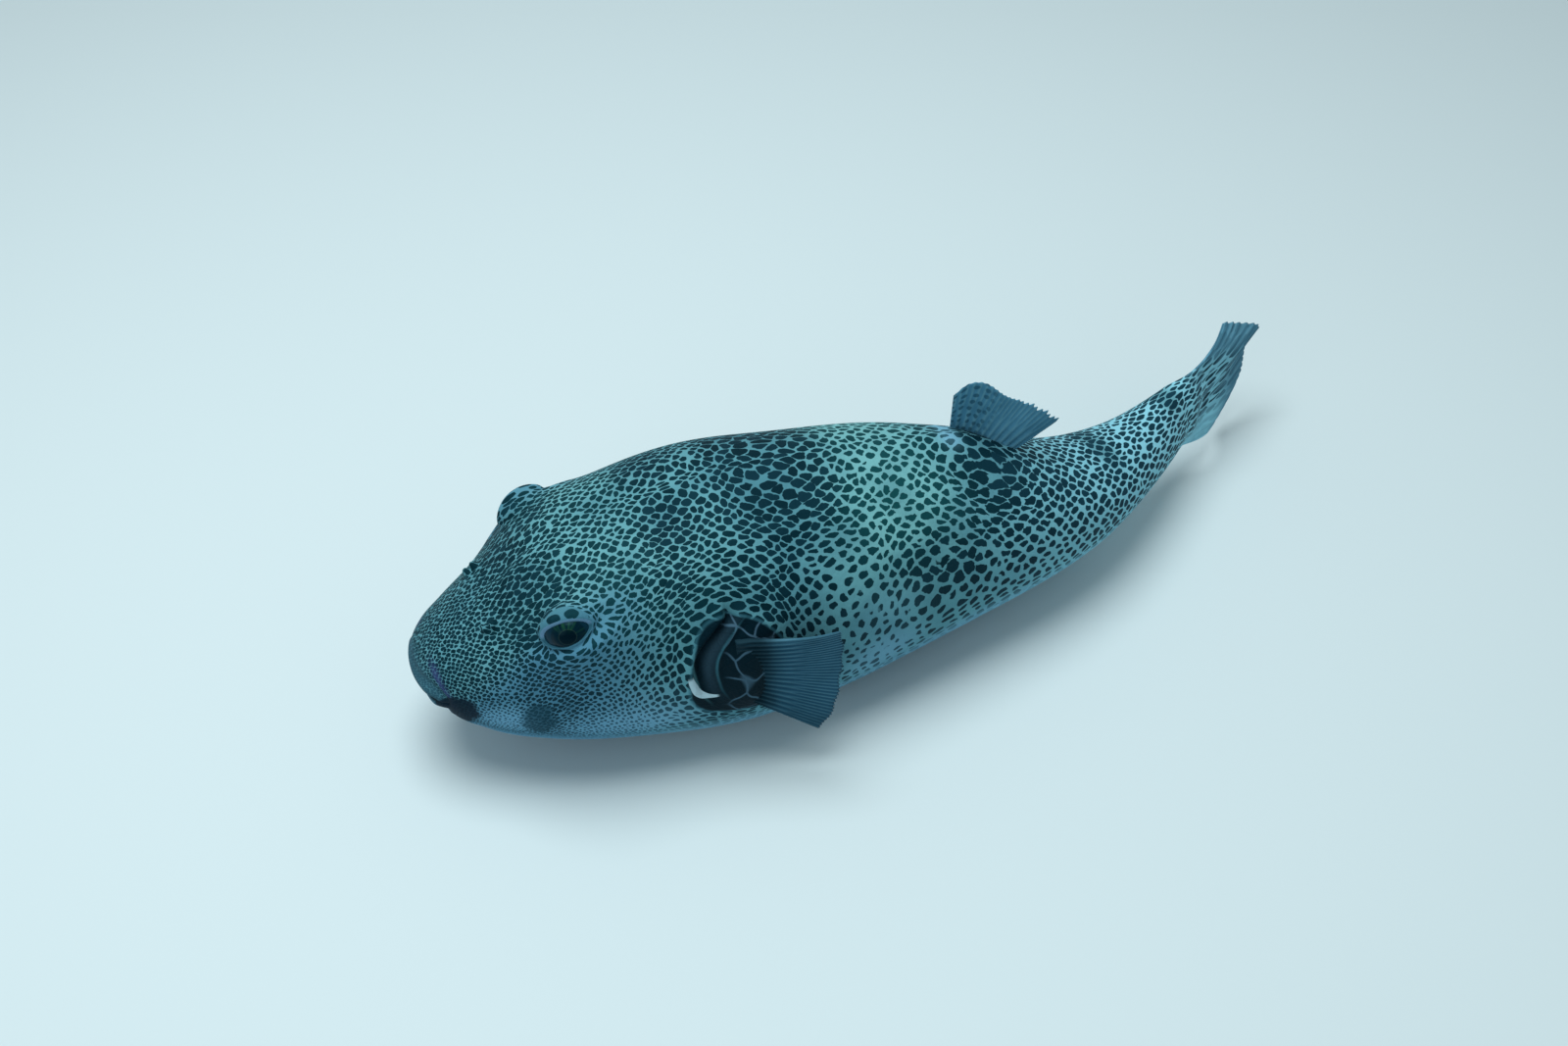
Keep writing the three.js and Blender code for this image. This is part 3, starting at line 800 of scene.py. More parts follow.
def patch_place(row, angle):
    """Distances back and down from the middle of the dark patch behind each gill."""
    down = (from_back(angle) - PATCH_ANGLE) * PATCH_GIRTH
    return row - PATCH_STATION, down


def patch_ratio(row, angle):
    """0 in the middle of the patch and 1 at its edge, which is flatter in front."""
    back, down = patch_place(row, angle)
    back = back + 0.0035 * np.sin(down * 90)
    down = down + 6 * MM - 0.28 * np.maximum(0, back)
    return (
        np.abs(back / PATCH_LENGTH) ** 2.3 + np.abs(down / PATCH_HEIGHT) ** 2.3
    ) ** (1 / 2.3)


# Places with bigger spots: station, degrees down from the back, reach and how much.
SWELLINGS = [
    (215, 5, 38, 0.24),
    (304, 4, 62, 0.32),
    (330, 56, 40, 0.16),
    (420, 84, 52, 0.32),
    (492, 22, 46, 0.36),
    (262, 44, 26, 0.2),
    (628, 12, 22, 0.2),
    (738, 14, 18, 0.2),
    (236, 76, 66, 0.36),
    (190, 84, 34, 0.24),
    (202, 108, 40, 0.36),
    (232, 62, 24, 0.26),
    (330, 78, 54, 0.28),
    (92, 14, 34, 0.2),
]


def gathered(row, angle):
    """Where the skin's spots are looked up: swollen in places, drawn round the gill."""
    side = np.sign(angle - math.pi / 2)
    down = from_back(angle)
    for station, middle, reach, gain in SWELLINGS:
        along = row - station * MM
        girth = half_at(station * MM)
        around = (down - math.radians(middle)) * girth
        pull = gain * np.exp(-(along**2 + around**2) / (reach * MM) ** 2)
        row = row - along * pull
        down = down - around * pull / girth
    along = row - EYE_STATION
    around = (down - BROW_ANGLE + 0.05) * EYE_GIRTH
    far = np.maximum(np.hypot(along, around * 1.3), 1e-6)
    pull = EYE_GRIP * np.exp(-np.maximum(far - EYE_HOLD, 0) / EYE_DRAW)
    pull = np.minimum(pull, far)
    row = row - along / far * pull
    down = down - around / far * pull / EYE_GIRTH
    angle = math.pi / 2 + side * down
    back, down = patch_place(row, angle)
    far = np.maximum(np.hypot(back, down), 1e-6)
    edge = far / np.maximum(patch_ratio(row, angle), 0.05)
    pull = PATCH_GRIP * np.exp(-np.maximum(far - edge, 0) / PATCH_REACH)
    row = row - back / far * pull
    angle = angle - np.sign(angle - math.pi / 2) * down / far * pull / PATCH_GIRTH
    return row, angle


def mark_skin(piece, row, angle):
    def soft(places):
        return soft_places(places, row, angle)

    rows, angles, spots, arcs = spot_map()
    spot = look_up(spots, rows, angles, *gathered(row, angle))
    arc = look_up(arcs, rows, angles, row, angle)
    back, down = patch_place(row, angle)
    belly = smooth_step(106, 130, np.degrees(from_back(angle)))
    across = from_back(angle) / math.pi
    along = (row - STANDARD_LENGTH) / CAUDAL_LENGTH
    behind, share = gill_place(row, angle)
    for name, values in {
        "spots": (spot.real, spot.imag),
        "lay": (row, arc, soft(APART_PLACES)),
        "patch": (back, down, np.minimum(patch_ratio(row, angle), 3)),
        "tone": (soft(SADDLES), soft(PALE_PLACES), soft(CHEEK_SHADE_PLACES)),
        "wash": (soft(GREEN_PLACES), belly, soft(MOUTH_SHADE_PLACES)),
        "fin rays": (across * CAUDAL_RAYS, along, across),
        "gill": (behind, share, soft(WORM_PLACES)),
    }.items():
        paint_corners(piece, name, *values)


def make_skin():
    skin = sheet_grid("skin", PELT_ROWS, PELT_COLUMNS)
    refine(skin, lambda row, angle: (row < LIP_LINE + 10 * MM) & (row > RIM - 6 * MM), 1)
    refine(skin, lambda row, angle: near_eye(row, angle, 46 * MM), 1)
    refine(skin, lambda row, angle: near_eye(row, angle, 34 * MM), 1)
    refine(skin, near_nostril, 3)
    refine(skin, near_gill, 1)
    row, angle = pelt_place(read_points(skin))
    points = surface_point(row, angle)
    normals = normal_at(row, angle)
    body = smooth_step(LIP_LINE, 50 * MM, row) * (1 - smooth_step(700 * MM, 740 * MM, row))
    rise = nostril_rise(row, angle) + gill_rise(row, angle)
    rise += pectoral_flesh(row, angle) + belly_folds(row, angle)
    points += normals * (rise * body)[:, None]
    points, lid, upper, lid_marks = add_lids(points)
    lift = points[:, 2] - FLOOR_GAP
    points[:, 2] = FLOOR_GAP + (lift + np.sqrt(lift**2 + FLOOR_SOFTNESS**2)) / 2
    write_points(skin, points)
    mark_skin(skin, row, angle)
    paint_corners(skin, "lid", lid, upper, lid_marks)
    close_up()
    return skin


# ---- fins that stand on the skin: each a closed blade with a ridge along every ray -----


def make_blade(name, rays, columns, rows, place):
    """A fin from its root to its edge.

    place takes shares across and along the fin and gives the middle of the blade and
    half its thickness. The sheet is wrapped round both faces of it.
    """
    blade = sheet_grid(name, rows, 2 * columns)
    flat = read_points(blade)
    along = flat[:, 0] + 0.5
    around = (flat[:, 1] + 0.5) * 2
    side = np.where(around < 1, 1.0, -1.0)
    across = np.where(around < 1, around, 2 - around)
    middle, half = place(across, along)
    step = 0.002
    over = place(np.clip(across + step, 0, 1), along)[0]
    over -= place(np.clip(across - step, 0, 1), along)[0]
    out = place(across, np.clip(along + step, 0, 1))[0]
    out -= place(across, np.clip(along - step, 0, 1))[0]
    normal = np.cross(over, out)
    normal /= np.maximum(np.linalg.norm(normal, axis=1, keepdims=True), 1e-12)
    rounded = np.sqrt(np.clip(np.minimum(across, 1 - across) * rays * 3, 0, 1))
    rounded *= np.sqrt(np.clip((1 - along) * rows / 1.5, 0, 1))
    rounded *= np.clip(along * rows, 0, 1)
    write_points(blade, middle + normal * (side * half * rounded)[:, None])
    paint_corners(blade, "fin rays", across * rays, along, across)
    close_up()
    return blade


def fin_thickness(across, along, rays, root, edge):
    """Half the thickness of a fin: fleshy at its root, thin between the rays."""
    ridges = ray_ridges(across, along, rays, 0.5)
    plain = mix(root, edge, np.clip(along, 0, 1) ** 0.45)
    return plain * (1 + 0.25 * (ridges - 1) * smooth_step(0.03, 0.2, along)) / 2


def pectoral_place(side):
    def place(across, along):
        droop = PECTORAL_DROOP * across**1.5
        fringe = ray_ridges(across, 1, PECTORAL_RAYS, 0.5)
        ragged = 1 + 0.016 * np.sin(9 * across) + 0.01 * np.sin(31 * across + 1)
        full = 1 - 0.1 * across**3 + 0.07 * np.sin(math.pi * across)
        length = PECTORAL_LENGTH * full * ragged + 0.6 * MM * fringe
        reach = (length + 12 * MM) * along - 12 * MM
        root = side * (half_at(PECTORAL_STATION) + 3 * MM)
        bow = 4 * MM * np.sin(math.pi * along) * (1 - across)
        wave = 1.8 * MM * along * np.sin(TURN * (1.1 * across + 0.4 * along))
        middle = in_frame(
            PECTORAL_STATION + reach * np.cos(droop),
            root + side * (reach * math.sin(PECTORAL_SPLAY) + bow + wave),
            mix(PECTORAL_TOP, PECTORAL_FOOT, across) - reach * np.sin(droop),
        )
        return middle, fin_thickness(across, along, PECTORAL_RAYS, 11 * MM, 1.1 * MM)

    return place


def dorsal_place(across, along):
    station = DORSAL_STATION + DORSAL_BASE * across
    sweep = mix(DORSAL_FIRST_SWEEP, DORSAL_LAST_SWEEP, across**1.2)
    length = mix(DORSAL_SHORT_RAY, DORSAL_LONG_RAY, bell(across - 0.2, 0.17))
    length -= DORSAL_FRONT_CUT * bell(across, 0.07)
    fringe = ray_ridges(across, 1, DORSAL_RAYS, 0.5)
    frayed = smooth_step(0.45, 0.8, across)
    length = length + (0.5 + 1.2 * frayed) * MM * fringe
    length += frayed * 1.2 * MM * np.sin(across * 47)
    reach = length * along
    root_out = mix(DORSAL_START, DORSAL_FINISH, across)
    pad = PAD_RISE * bell(station - DORSAL_STATION, PAD_LENGTH)
    root_height = back_at(station) + pad - 5 * MM * (1 - along)
    wave = 1.4 * MM * along * np.sin(TURN * 1.7 * across + 1)
    middle = in_frame(
        station + reach * np.cos(sweep),
        root_out + reach * np.sin(sweep) * math.sin(DORSAL_LEAN) + wave,
        root_height + reach * np.sin(sweep) * math.cos(DORSAL_LEAN),
    )
    return middle, fin_thickness(across, along, DORSAL_RAYS, 9 * MM, 1.1 * MM)


def anal_place(across, along):
    station = ANAL_STATION + ANAL_BASE * across
    fringe = ray_ridges(across, 1, ANAL_RAYS, 0.5)
    length = ANAL_LENGTH * (1 - 0.15 * across) + 0.7 * MM * fringe
    reach = length * along
    tip_height = belly_at(station + length) - ANAL_CLEARANCE
    root_height = belly_at(station) + 6 * MM
    height = mix(root_height, tip_height, along)
    out = reach * math.sin(ANAL_LEAN)
    return (
        in_frame(station + reach, out, height),
        fin_thickness(across, along, ANAL_RAYS, 8 * MM, 1.1 * MM),
    )


# ---- eyeballs ---------------------------------------------------------------------------


def make_eyeball(name, cad_name, side):
    """An eyeball that bulges a little in front of the iris."""
    ball = unit_ball(name, 64, 40)
    local = read_points(ball)
    centre, axes = eye_frame(cad_name, side)
    gaze = np.degrees(np.arccos(np.clip(local[:, 2], -1, 1)))
    cornea = 1.2 * MM * (1 - smooth_step(20, 40, gaze))
    shaped = local * (EYEBALL_REACH - 0.3 * MM + cornea[:, None])
    write_points(ball, centre + shaped @ axes)
    paint_corners(ball, "gaze", gaze, local[:, 0], local[:, 1])
    close_up()
    return ball


BEAK_HALF_WIDTH = 18 * MM
BEAK_HEIGHT = 6.5 * MM
BEAK_THICKNESS = 7 * MM
BEAK_SETBACK = 8 * MM


def make_beak(name, lift):
    """Half of the beak: a curved plate with a cutting edge and a groove down its middle."""
    beak = unit_ball(name, 48, 32)
    local = read_points(beak)
    out = local[:, 1] * BEAK_HALF_WIDTH
    groove = 0.9 * MM * bell(out, 0.8 * MM) * np.clip(-local[:, 0], 0, 1)
    up = power(local[:, 2], 0.8)
    edge = np.where(up * lift < 0, 0.35 * up, up)
    _, rim_height = mouth_rim(np.arccos(np.clip(local[:, 1] * 0.5, -1, 1)))
    station, rise = face_at(out, rim_height)
    station = station + setback_at(station, rise) + BEAK_SETBACK
    station = station + local[:, 0] * BEAK_THICKNESS * (1 - 0.3 * np.abs(edge)) + groove
    middle = MOUTH_HEIGHT + lift * 0.6 * MM + MOUTH_SMILE * (out / MOUTH_HALF_WIDTH) ** 2
    height = middle + edge * BEAK_HEIGHT + lift * 1.6 * MM
    write_points(beak, in_frame(station, out, height))
    close_up()
    return beak


# ---- paint: shader maths as expressions -------------------------------------------------


class Value:
    """A number that varies over a surface, made from a node's output."""

    def __init__(self, finish, socket):
        self.finish = finish
        self.socket = socket

    def __add__(self, other):
        return self.finish.maths("ADD", self, other)

    def __sub__(self, other):
        return self.finish.maths("SUBTRACT", self, other)

    def __rsub__(self, other):
        return self.finish.maths("SUBTRACT", other, self)

    def __mul__(self, other):
        return self.finish.maths("MULTIPLY", self, other)

    def __truediv__(self, other):
        return self.finish.maths("DIVIDE", self, other)

    def __rtruediv__(self, other):
        return self.finish.maths("DIVIDE", other, self)

    def __pow__(self, other):
        return self.finish.maths("POWER", self, other)

    def __abs__(self):
        return self.finish.maths("ABSOLUTE", self)

    __radd__ = __add__
    __rmul__ = __mul__


class Finish:
    """One material and its nodes."""

    def __init__(self, name):
        self.material = bpy.data.materials.new(name)
        self.material.use_nodes = True
        self.tree = self.material.node_tree
        self.shader = self.tree.nodes["Principled BSDF"]

    def node(self, kind, settings=None, **sockets):
        """Adds a node; a socket is named with _ for spaces, or as at0, at1 by number."""
        node = self.tree.nodes.new(kind)
        for key, value in (settings or {}).items():
            setattr(node, key, value)
        for key, value in sockets.items():
            if key[:2] == "at":
                socket = node.inputs[int(key[2:])]
            else:
                socket = node.inputs[key.replace("_", " ")]
            self.feed(socket, value)
        return node

    def feed(self, socket, value):
        if isinstance(value, Value):
            self.tree.links.new(value.socket, socket)
        elif isinstance(value, tuple) and len(value) == 3 and socket.type == "RGBA":
            socket.default_value = (*value, 1)
        else:
            socket.default_value = value

    def out(self, node, output=0):
        return Value(self, node.outputs[output])

    def maths(self, operation, a, b=0.0, c=0.0):
        node = self.node("ShaderNodeMath", {"operation": operation}, at0=a, at1=b, at2=c)
        return self.out(node)

    def vector_maths(self, operation, a, b=(0, 0, 0)):
        settings = {"operation": operation}
        return self.out(self.node("ShaderNodeVectorMath", settings, at0=a, at1=b))

    def attribute(self, name):
        settings = {"attribute_type": "GEOMETRY", "attribute_name": name}
        return self.out(self.node("ShaderNodeAttribute", settings), "Vector")

    def marks(self, name):
        """The three numbers of an attribute that paint_corners made."""
        return self.split(self.attribute(name))

    def larger(self, a, b):
        return self.maths("MAXIMUM", a, b)

    def split(self, vector):
        node = self.node("ShaderNodeSeparateXYZ", None, Vector=vector)
        return [self.out(node, axis) for axis in range(3)]

    def join(self, x, y, z=0.0):
        return self.out(self.node("ShaderNodeCombineXYZ", None, X=x, Y=y, Z=z))

    def position(self):
        return self.out(self.node("ShaderNodeTexCoord"), "Object")

    def noise(self, vector, scale, detail, output=0):
        sockets = {"Vector": vector, "Scale": scale, "Detail": detail}
        return self.out(self.node("ShaderNodeTexNoise", None, **sockets), output)

    def wobble(self, vector, scale):
        """Two soft noises, each about zero."""
        noise = self.noise(vector, scale, 1.0, output=1)
        return self.split(self.vector_maths("SUBTRACT", noise, (0.5,) * 3))[:2]

    def cells(self, vector, scale, feature="F1", randomness=1.0, output=0):
        node = self.node(
            "ShaderNodeTexVoronoi", {"voronoi_dimensions": "2D", "feature": feature},
            Vector=vector, Scale=scale, Randomness=randomness,
        )
        if feature == "SMOOTH_F1":
            node.inputs["Smoothness"].default_value = 1
        return self.out(node, output)

    def step(self, value, low, high):
        """0 up to low and 1 from high, with a soft step between them."""
        node = self.node(
            "ShaderNodeMapRange", {"interpolation_type": "SMOOTHSTEP"},
            Value=value, From_Min=low, From_Max=high,
        )
        return self.out(node)

    def hill(self, value, middle, width):
        """1 at the middle, falling softly to 0 a width away."""
        return 1 - self.step(abs(value - middle), 0.0, width)

    def blend(self, share, a, b):
        """A colour from a to b."""
        node = self.node("ShaderNodeMix", {"data_type": "RGBA"})
        for socket in node.inputs:
            if socket.enabled and socket.name in ("Factor", "A", "B"):
                self.feed(socket, {"Factor": share, "A": a, "B": b}[socket.name])
        output = next(socket for socket in node.outputs if socket.enabled)
        return Value(self, output)

    def coat(self, color, *layers):
        """A colour under others, each with the share of it that shows."""
        for share, layer in layers:
            color = self.blend(share, color, layer)
        return color

    def mix(self, share, a, b):
        """A number from a to b."""
        return a + (b - a) * share

    def finish(self, piece, color, roughness, height=None, reach=0.0, **uniform):
        self.feed(self.shader.inputs["Base Color"], color)
        self.feed(self.shader.inputs["Roughness"], roughness)
        self.shader.inputs["Specular Tint"].default_value = SHEEN_COLOR
        for key, value in uniform.items():
            self.shader.inputs[key.replace("_", " ")].default_value = value
        if height is not None:
            bump = self.node("ShaderNodeBump", None, Height=height, Distance=reach)
            self.feed(self.shader.inputs["Normal"], self.out(bump))
        piece.data.materials.clear()
        piece.data.materials.append(self.material)


def srgb(red, green, blue):
    """A linear colour from the 0 to 255 numbers of a colour chart."""
    return tuple(
        value / 255 / 12.92
        if value <= 10
        else ((value / 255 + 0.055) / 1.055) ** 2.4
        for value in (red, green, blue)
    )


SHEEN_COLOR = (0.3, 0.7, 0.85, 1)
SPOT_COLOR = srgb(2, 32, 42)
SPOT_SOFT_COLOR = srgb(20, 60, 76)
SPOT_GREEN_COLOR = srgb(16, 72, 76)
NET_COLOR = srgb(86, 145, 157)
NET_GREEN_COLOR = srgb(108, 170, 174)
NET_DIM_COLOR = srgb(50, 100, 116)
TAIL_NET_COLOR = srgb(132, 200, 218)
BELLY_COLOR = srgb(106, 160, 186)
CHIN_COLOR = srgb(66, 124, 168)
LID_COLOR = srgb(96, 136, 168)
WHITE_COLOR = srgb(168, 200, 212)
PATCH_COLOR = srgb(2, 22, 32)
PATCH_NET_COLOR = srgb(64, 96, 116)
LIP_COLOR = srgb(48, 88, 106)
LIP_LINE_COLOR = srgb(52, 66, 112)
MOUTH_SHADE_COLOR = srgb(8, 26, 42)
CAUDAL_COLOR = srgb(70, 124, 148)
CAUDAL_RAY_COLOR = srgb(104, 160, 182)
CAUDAL_DARK_COLOR = srgb(24, 72, 92)
IRIS_COLOR = srgb(2, 26, 38)
IRIS_GREEN_COLOR = srgb(30, 78, 52)
SPOT_STRAY = 0.64  # how far the cells' middles stray from an even grid, up to 1


def fin_look(f):
    """1 on each ray and 0 between two, and the shares along and across the fin."""
    count, along, across = f.marks("fin rays")
    near, near_two = (
        abs(f.maths("FRACT", rays) - 0.5) * 2 for rays in (count, count * 2 + 0.5)
    )
    ray = f.mix(f.step(along, 0.45, 0.75), near, near_two)
    return f.step(ray, 0.35, 0.95), along, across


def paint_skin(piece):
    f = Finish("skin")
    spots = f.attribute("spots")
    row, arc, apart = f.marks("lay")
    lid, upper, lid_mark = f.marks("lid")
    behind, gill, worms = f.marks("gill")
    patch_back, patch_down, patch = f.marks("patch")
    saddle, pale, cheek_shade = f.marks("tone")
    green, belly, corner = f.marks("wash")
    place = f.position()
    saddle = saddle * (0.5 + 0.5 * f.step(saddle, 0.35, 0.6))
    aside = arc * arc  # grows with the distance round from the middle of the back
    tail = f.step(row, 0.5, 0.66)
    head = 1 - f.step(row, 0.12, 0.2)
    rear = f.step(row, 0.4, 0.7)
    cheek = head * f.step(aside, 0.003, 0.008)
    low = f.step(aside, 0.004, 0.016) * f.step(row, 0.22, 0.3)

    # The net: cells with softened corners, run together here and there.
    drift_x, drift_y = f.wobble(spots, 0.55)
    jitter_x, jitter_y = f.wobble(spots, 2.3)
    shake = 0.26 + 0.16 * head
    x, y, _ = f.split(spots)
    x = x + drift_x * 0.7 + jitter_x * shake
    y = y + drift_y * 0.7 + jitter_y * shake
    laid = f.join((x - y) * 0.707, (x + y) * 0.707)  # so that the rows are staggered
    centre = f.cells(laid, 1.0, "F1", SPOT_STRAY)
    melted = f.cells(laid, 1.0, "SMOOTH_F1", SPOT_STRAY)
    tint = f.split(f.cells(laid, 1.0, "F1", SPOT_STRAY, output=1))[0]
    melt = f.larger(centre - melted, 0.0) ** 0.5
    inward = 0.455 - melt * 1.28  # 0 on the line between two cells
    joins = f.noise(spots, 1.15, 0.0)

    # Worms: cells that meet end to end along the body run together.
    off = f.vector_maths("SUBTRACT", laid, f.cells(laid, 1.0, "F1", SPOT_STRAY, output=2))
    off_x, off_y, _ = f.split(off)
    endwise = abs(off_x + off_y) - abs(off_y - off_x)
    worm = f.step(endwise, -0.08, 0.32) * f.step(f.noise(spots, 1.3, 0.0), 0.44, 0.6)
    worm = worms * worm

    # The net's width, and how far each cell reaches.
    width = 0.165 + 0.34 * (0.5 - joins) - 0.09 * saddle - 0.05 * (head - cheek)
    width = width + 0.03 * tail + 0.06 * cheek + 0.1 * green - 0.14 * cheek_shade
    width = width + 0.06 * low * (1 - saddle) + 0.16 * pale + 0.15 * apart - 0.27 * worm
    reach = 0.69 - 0.7 * width - 0.08 * tint + 0.04 * saddle
    inner = f.maths("SMOOTH_MIN", inward - width, (reach - centre) * 1.1, 0.13)
    cell = f.step(inner, -0.03, 0.035)

    # The belly is plain, and the spots fade a little on the pale places.
    cell = cell * (1 - f.larger(belly, pale * 0.25) * 0.85)

    # The lids are bare, but for two big spots on each upper one.
    bare = f.step(lid_mark, 0.3, 0.7)
    cell = f.mix(bare, cell, f.step(lid_mark, 1.2, 1.6))

    # The gill patch: dark, with a thin net of its own and a pale line round it.
    bend_x, bend_y = f.wobble(f.join(patch_back, patch_down), 40.0)
    dark_cells = f.join(patch_back * 46 + bend_x * 0.8, patch_down * 58 + bend_y * 0.8)
    dark_edge = f.cells(dark_cells, 1.0, "DISTANCE_TO_EDGE", 0.9)
    dark_node = f.cells(dark_cells, 1.0, "F1", 0.9)
    inner_net = 1 - f.step(dark_edge, 0.015, 0.06)
    inner_net = f.larger(inner_net, f.step(dark_node, 0.62, 0.78) * 0.8)
    inner_net = inner_net * f.step(patch_back, -0.014, -0.004)
    outline = patch + bend_x * 0.12
    in_patch = 1 - f.step(outline, 0.9, 0.97)
    ring = f.hill(outline, 0.95, 0.055)

    grain = f.noise(place, 220.0, 3.0)
    mottle = f.noise(place, 22.0, 3.0)
    # The net dims on the saddles, and under the painted shade in front of and below each
    # eye.
    saddle_and_shade = f.larger(cheek_shade * 0.8, saddle * 0.3)
    net = f.coat(
        NET_COLOR,
        (green, NET_GREEN_COLOR),
        (f.step(mottle, 0.35, 0.7) * 0.45, NET_DIM_COLOR),
        (cheek * 0.35, BELLY_COLOR),
        (f.larger(saddle_and_shade, cheek * (1 - pale) * 0.62), NET_DIM_COLOR),
        (f.larger(belly, pale * 0.9), BELLY_COLOR),
        (cheek * 0.28, CHIN_COLOR),
        (rear * (1 - saddle) * 0.9, TAIL_NET_COLOR),
    )
    spot = f.coat(
        SPOT_COLOR,
        (tint * 0.35 + cheek * 0.15 + pale * 0.4 + rear * 0.5, SPOT_SOFT_COLOR),
        (green * (1 - saddle) * 0.75, SPOT_GREEN_COLOR),
    )
    # Painted shade in front of and below each eye: a soft dark blot, with the spots bigger
    # under it.
    shade_blot = f.step(cheek_shade + (f.noise(place, 60.0, 3.0) - 0.5) * 1.3, 0.3, 0.8)
    color = f.coat(
        net,
        (cell, spot),
        (shade_blot * 0.74, SPOT_SOFT_COLOR),
        (in_patch, f.blend(inner_net * 0.8, PATCH_COLOR, PATCH_NET_COLOR)),
        (ring * 0.6, NET_DIM_COLOR),
    )

    # Painted light: the thin fold that stands up inside the gill opening, its crest and the
    # flap in front are painted a lighter blue, where they catch the light. The fold's front
    # foot is white.
    fold = f.hill(behind, 0.009, 0.008) * f.hill(gill, 0.45, 0.6)
    lit_crest = f.hill(behind + bend_y * 0.002, 0.0155, 0.002) * f.hill(gill, 0.45, 0.55)
    flap = f.hill(behind, -0.0015, 0.0022) * f.hill(gill, 0.4, 0.7)
    round_x = patch_back + 0.021
    round_y = patch_down + 0.006
    far = (round_x * round_x + round_y * round_y) ** 0.5
    heading = f.maths("ARCTAN2", round_y, 0 - round_x)
    thick = 0.0033 - 0.001 * heading
    edge = abs(far + bend_x * 0.004 - 0.017)
    white = (1 - f.step(edge, thick * 0.55, thick)) * f.hill(heading, 0.95, 1.1)
    color = f.coat(
        color,
        (fold * 0.35, PATCH_NET_COLOR),
        (lit_crest * 0.9, NET_DIM_COLOR),
        (flap * 0.9, NET_COLOR),
        (f.step(white, 0.06, 0.25), WHITE_COLOR),
    )

    # Lips are plainer and darker. Painted shade: the mouth's corners and its inside are
    # painted darkest, near black, where the open mouth lies in shade.
    lips = 1 - f.step(row + bend_x * 0.004, 0.0, 0.012)
    line = f.hill(row + (mottle - 0.5) * 0.008, 0.015, 0.006) * f.step(mottle, 0.3, 0.5)
    line = line * f.step(aside, 0.0002, 0.0012) * (1 - f.step(aside, 0.004, 0.007))
    ragged = corner + (f.noise(place, 90.0, 2.0) - 0.5) * 0.5
    inside = 1 - f.step(row, -0.02, -0.016)
    color = f.coat(
        color,
        (lips * 0.7, LIP_COLOR),
        (line * 0.8, LIP_LINE_COLOR),
        (f.step(ragged, 0.35, 0.6) * 0.95, MOUTH_SHADE_COLOR),
        (inside, SPOT_COLOR),
    )

    # The lid has a pale rim above, and a dark one below.
    rim = f.step(lid, 0.92, 0.98) * (1 - f.step(lid, 1.05, 1.11))
    above = f.step(upper, 0.0, 0.5)
    color = f.coat(
        color,
        (bare * (1 - cell) * 0.5, NET_DIM_COLOR),
        (rim * above * 0.9, LID_COLOR),
        (rim * (1 - above) * 0.7, SPOT_SOFT_COLOR),
        (1 - f.step(lid, 0.86, 0.96), SPOT_COLOR),
    )

    # The spots run out over the tail fin, and fade on its outer half.
    ray, along, across = fin_look(f)
    fin = f.step(along + 0.3 * f.step(across, 0.28, 0.0) + bend_x * 0.1, 0.42, 0.8)
    fin_color = f.coat(
        CAUDAL_COLOR, (ray * 0.6, CAUDAL_RAY_COLOR), (cell * 0.3, CAUDAL_DARK_COLOR)
    )
    root_rays = f.step(along, 0.0, 0.3) * ray * 0.5
    color = f.coat(color, (root_rays, CAUDAL_RAY_COLOR), (fin, fin_color))

    # Fine prickles all over, with the spots a little sunk.
    prickles = f.cells(place, 400.0, "F1")
    height = grain * 0.5 - cell * 0.35 - prickles * 0.2
    roughness = 0.55 + 0.2 * grain
    f.finish(piece, color, roughness, height, 0.0008, Specular_IOR_Level=0.1)


def paint_fin(piece, name, base, ray_color, dark, root_end, spotted):
    f = Finish(name)
    ray, along, across = fin_look(f)
    place = f.position()
    mottle = f.noise(place, 60.0, 3.0)
    root = 1 - f.step(along + (mottle - 0.5) * 0.2, root_end * 0.4, root_end)
    color = f.coat(
        base,
        (ray * 0.7, ray_color),
        (f.step(mottle, 0.35, 0.8) * 0.3, dark),
        ((1 - f.step(across, 0.0, 0.06)) * 0.5, ray_color),
        (f.step(across, 0.6, 1.0) * 0.4, dark),
    )
    if spotted:
        front = 1 - f.step(across + along * 0.1, 0.3, 0.62)
        dots = f.cells(f.join(across * 12, along * 8), 1.0, "F1", 0.4)
        dot = (1 - f.step(dots, 0.22, 0.36)) * front
        color = f.blend(dot * 0.7, color, dark)
    color = f.blend(root * 0.9, color, PATCH_COLOR)
    grain = f.noise(place, 500.0, 2.0)
    f.finish(piece, color, 0.6, grain, 0.0003, Specular_IOR_Level=0.15)


def paint_eye(piece):
    f = Finish("eye")
    gaze, x, y = f.marks("gaze")
    around = f.noise(f.join(x / gaze * 300, y / gaze * 300, gaze * 0.01), 1.0, 2.0)
    # The iris's green rays show only on its upper back side: partly its own colour and
    # partly a painted highlight.
    green_and_highlight = f.step(around, 0.35, 0.75) * f.step(x * 0.6 + y, 0.05, 0.4)
    color = f.coat(
        srgb(8, 40, 56),
        (1 - f.step(gaze, 34.0, 40.0), f.blend(green_and_highlight * 0.7, IRIS_COLOR, IRIS_GREEN_COLOR)),
        (f.hill(gaze, 17.0, 1.6) * 0.12, srgb(80, 100, 70)),
        ((1 - f.step(gaze, 15.0, 17.0)) * 0.8, srgb(0, 14, 24)),
    )
    f.finish(piece, color, 0.2, Specular_IOR_Level=0.08)


def paint_beak(piece):
    f = Finish("beak")
    place = f.position()
    stain = f.noise(place, 160.0, 3.0)
    color = f.blend(f.step(stain, 0.3, 0.7), srgb(170, 190, 186), srgb(120, 144, 146))
    f.finish(piece, color, 0.35, stain, 0.0004)


# ---- the pieces -------------------------------------------------------------------------

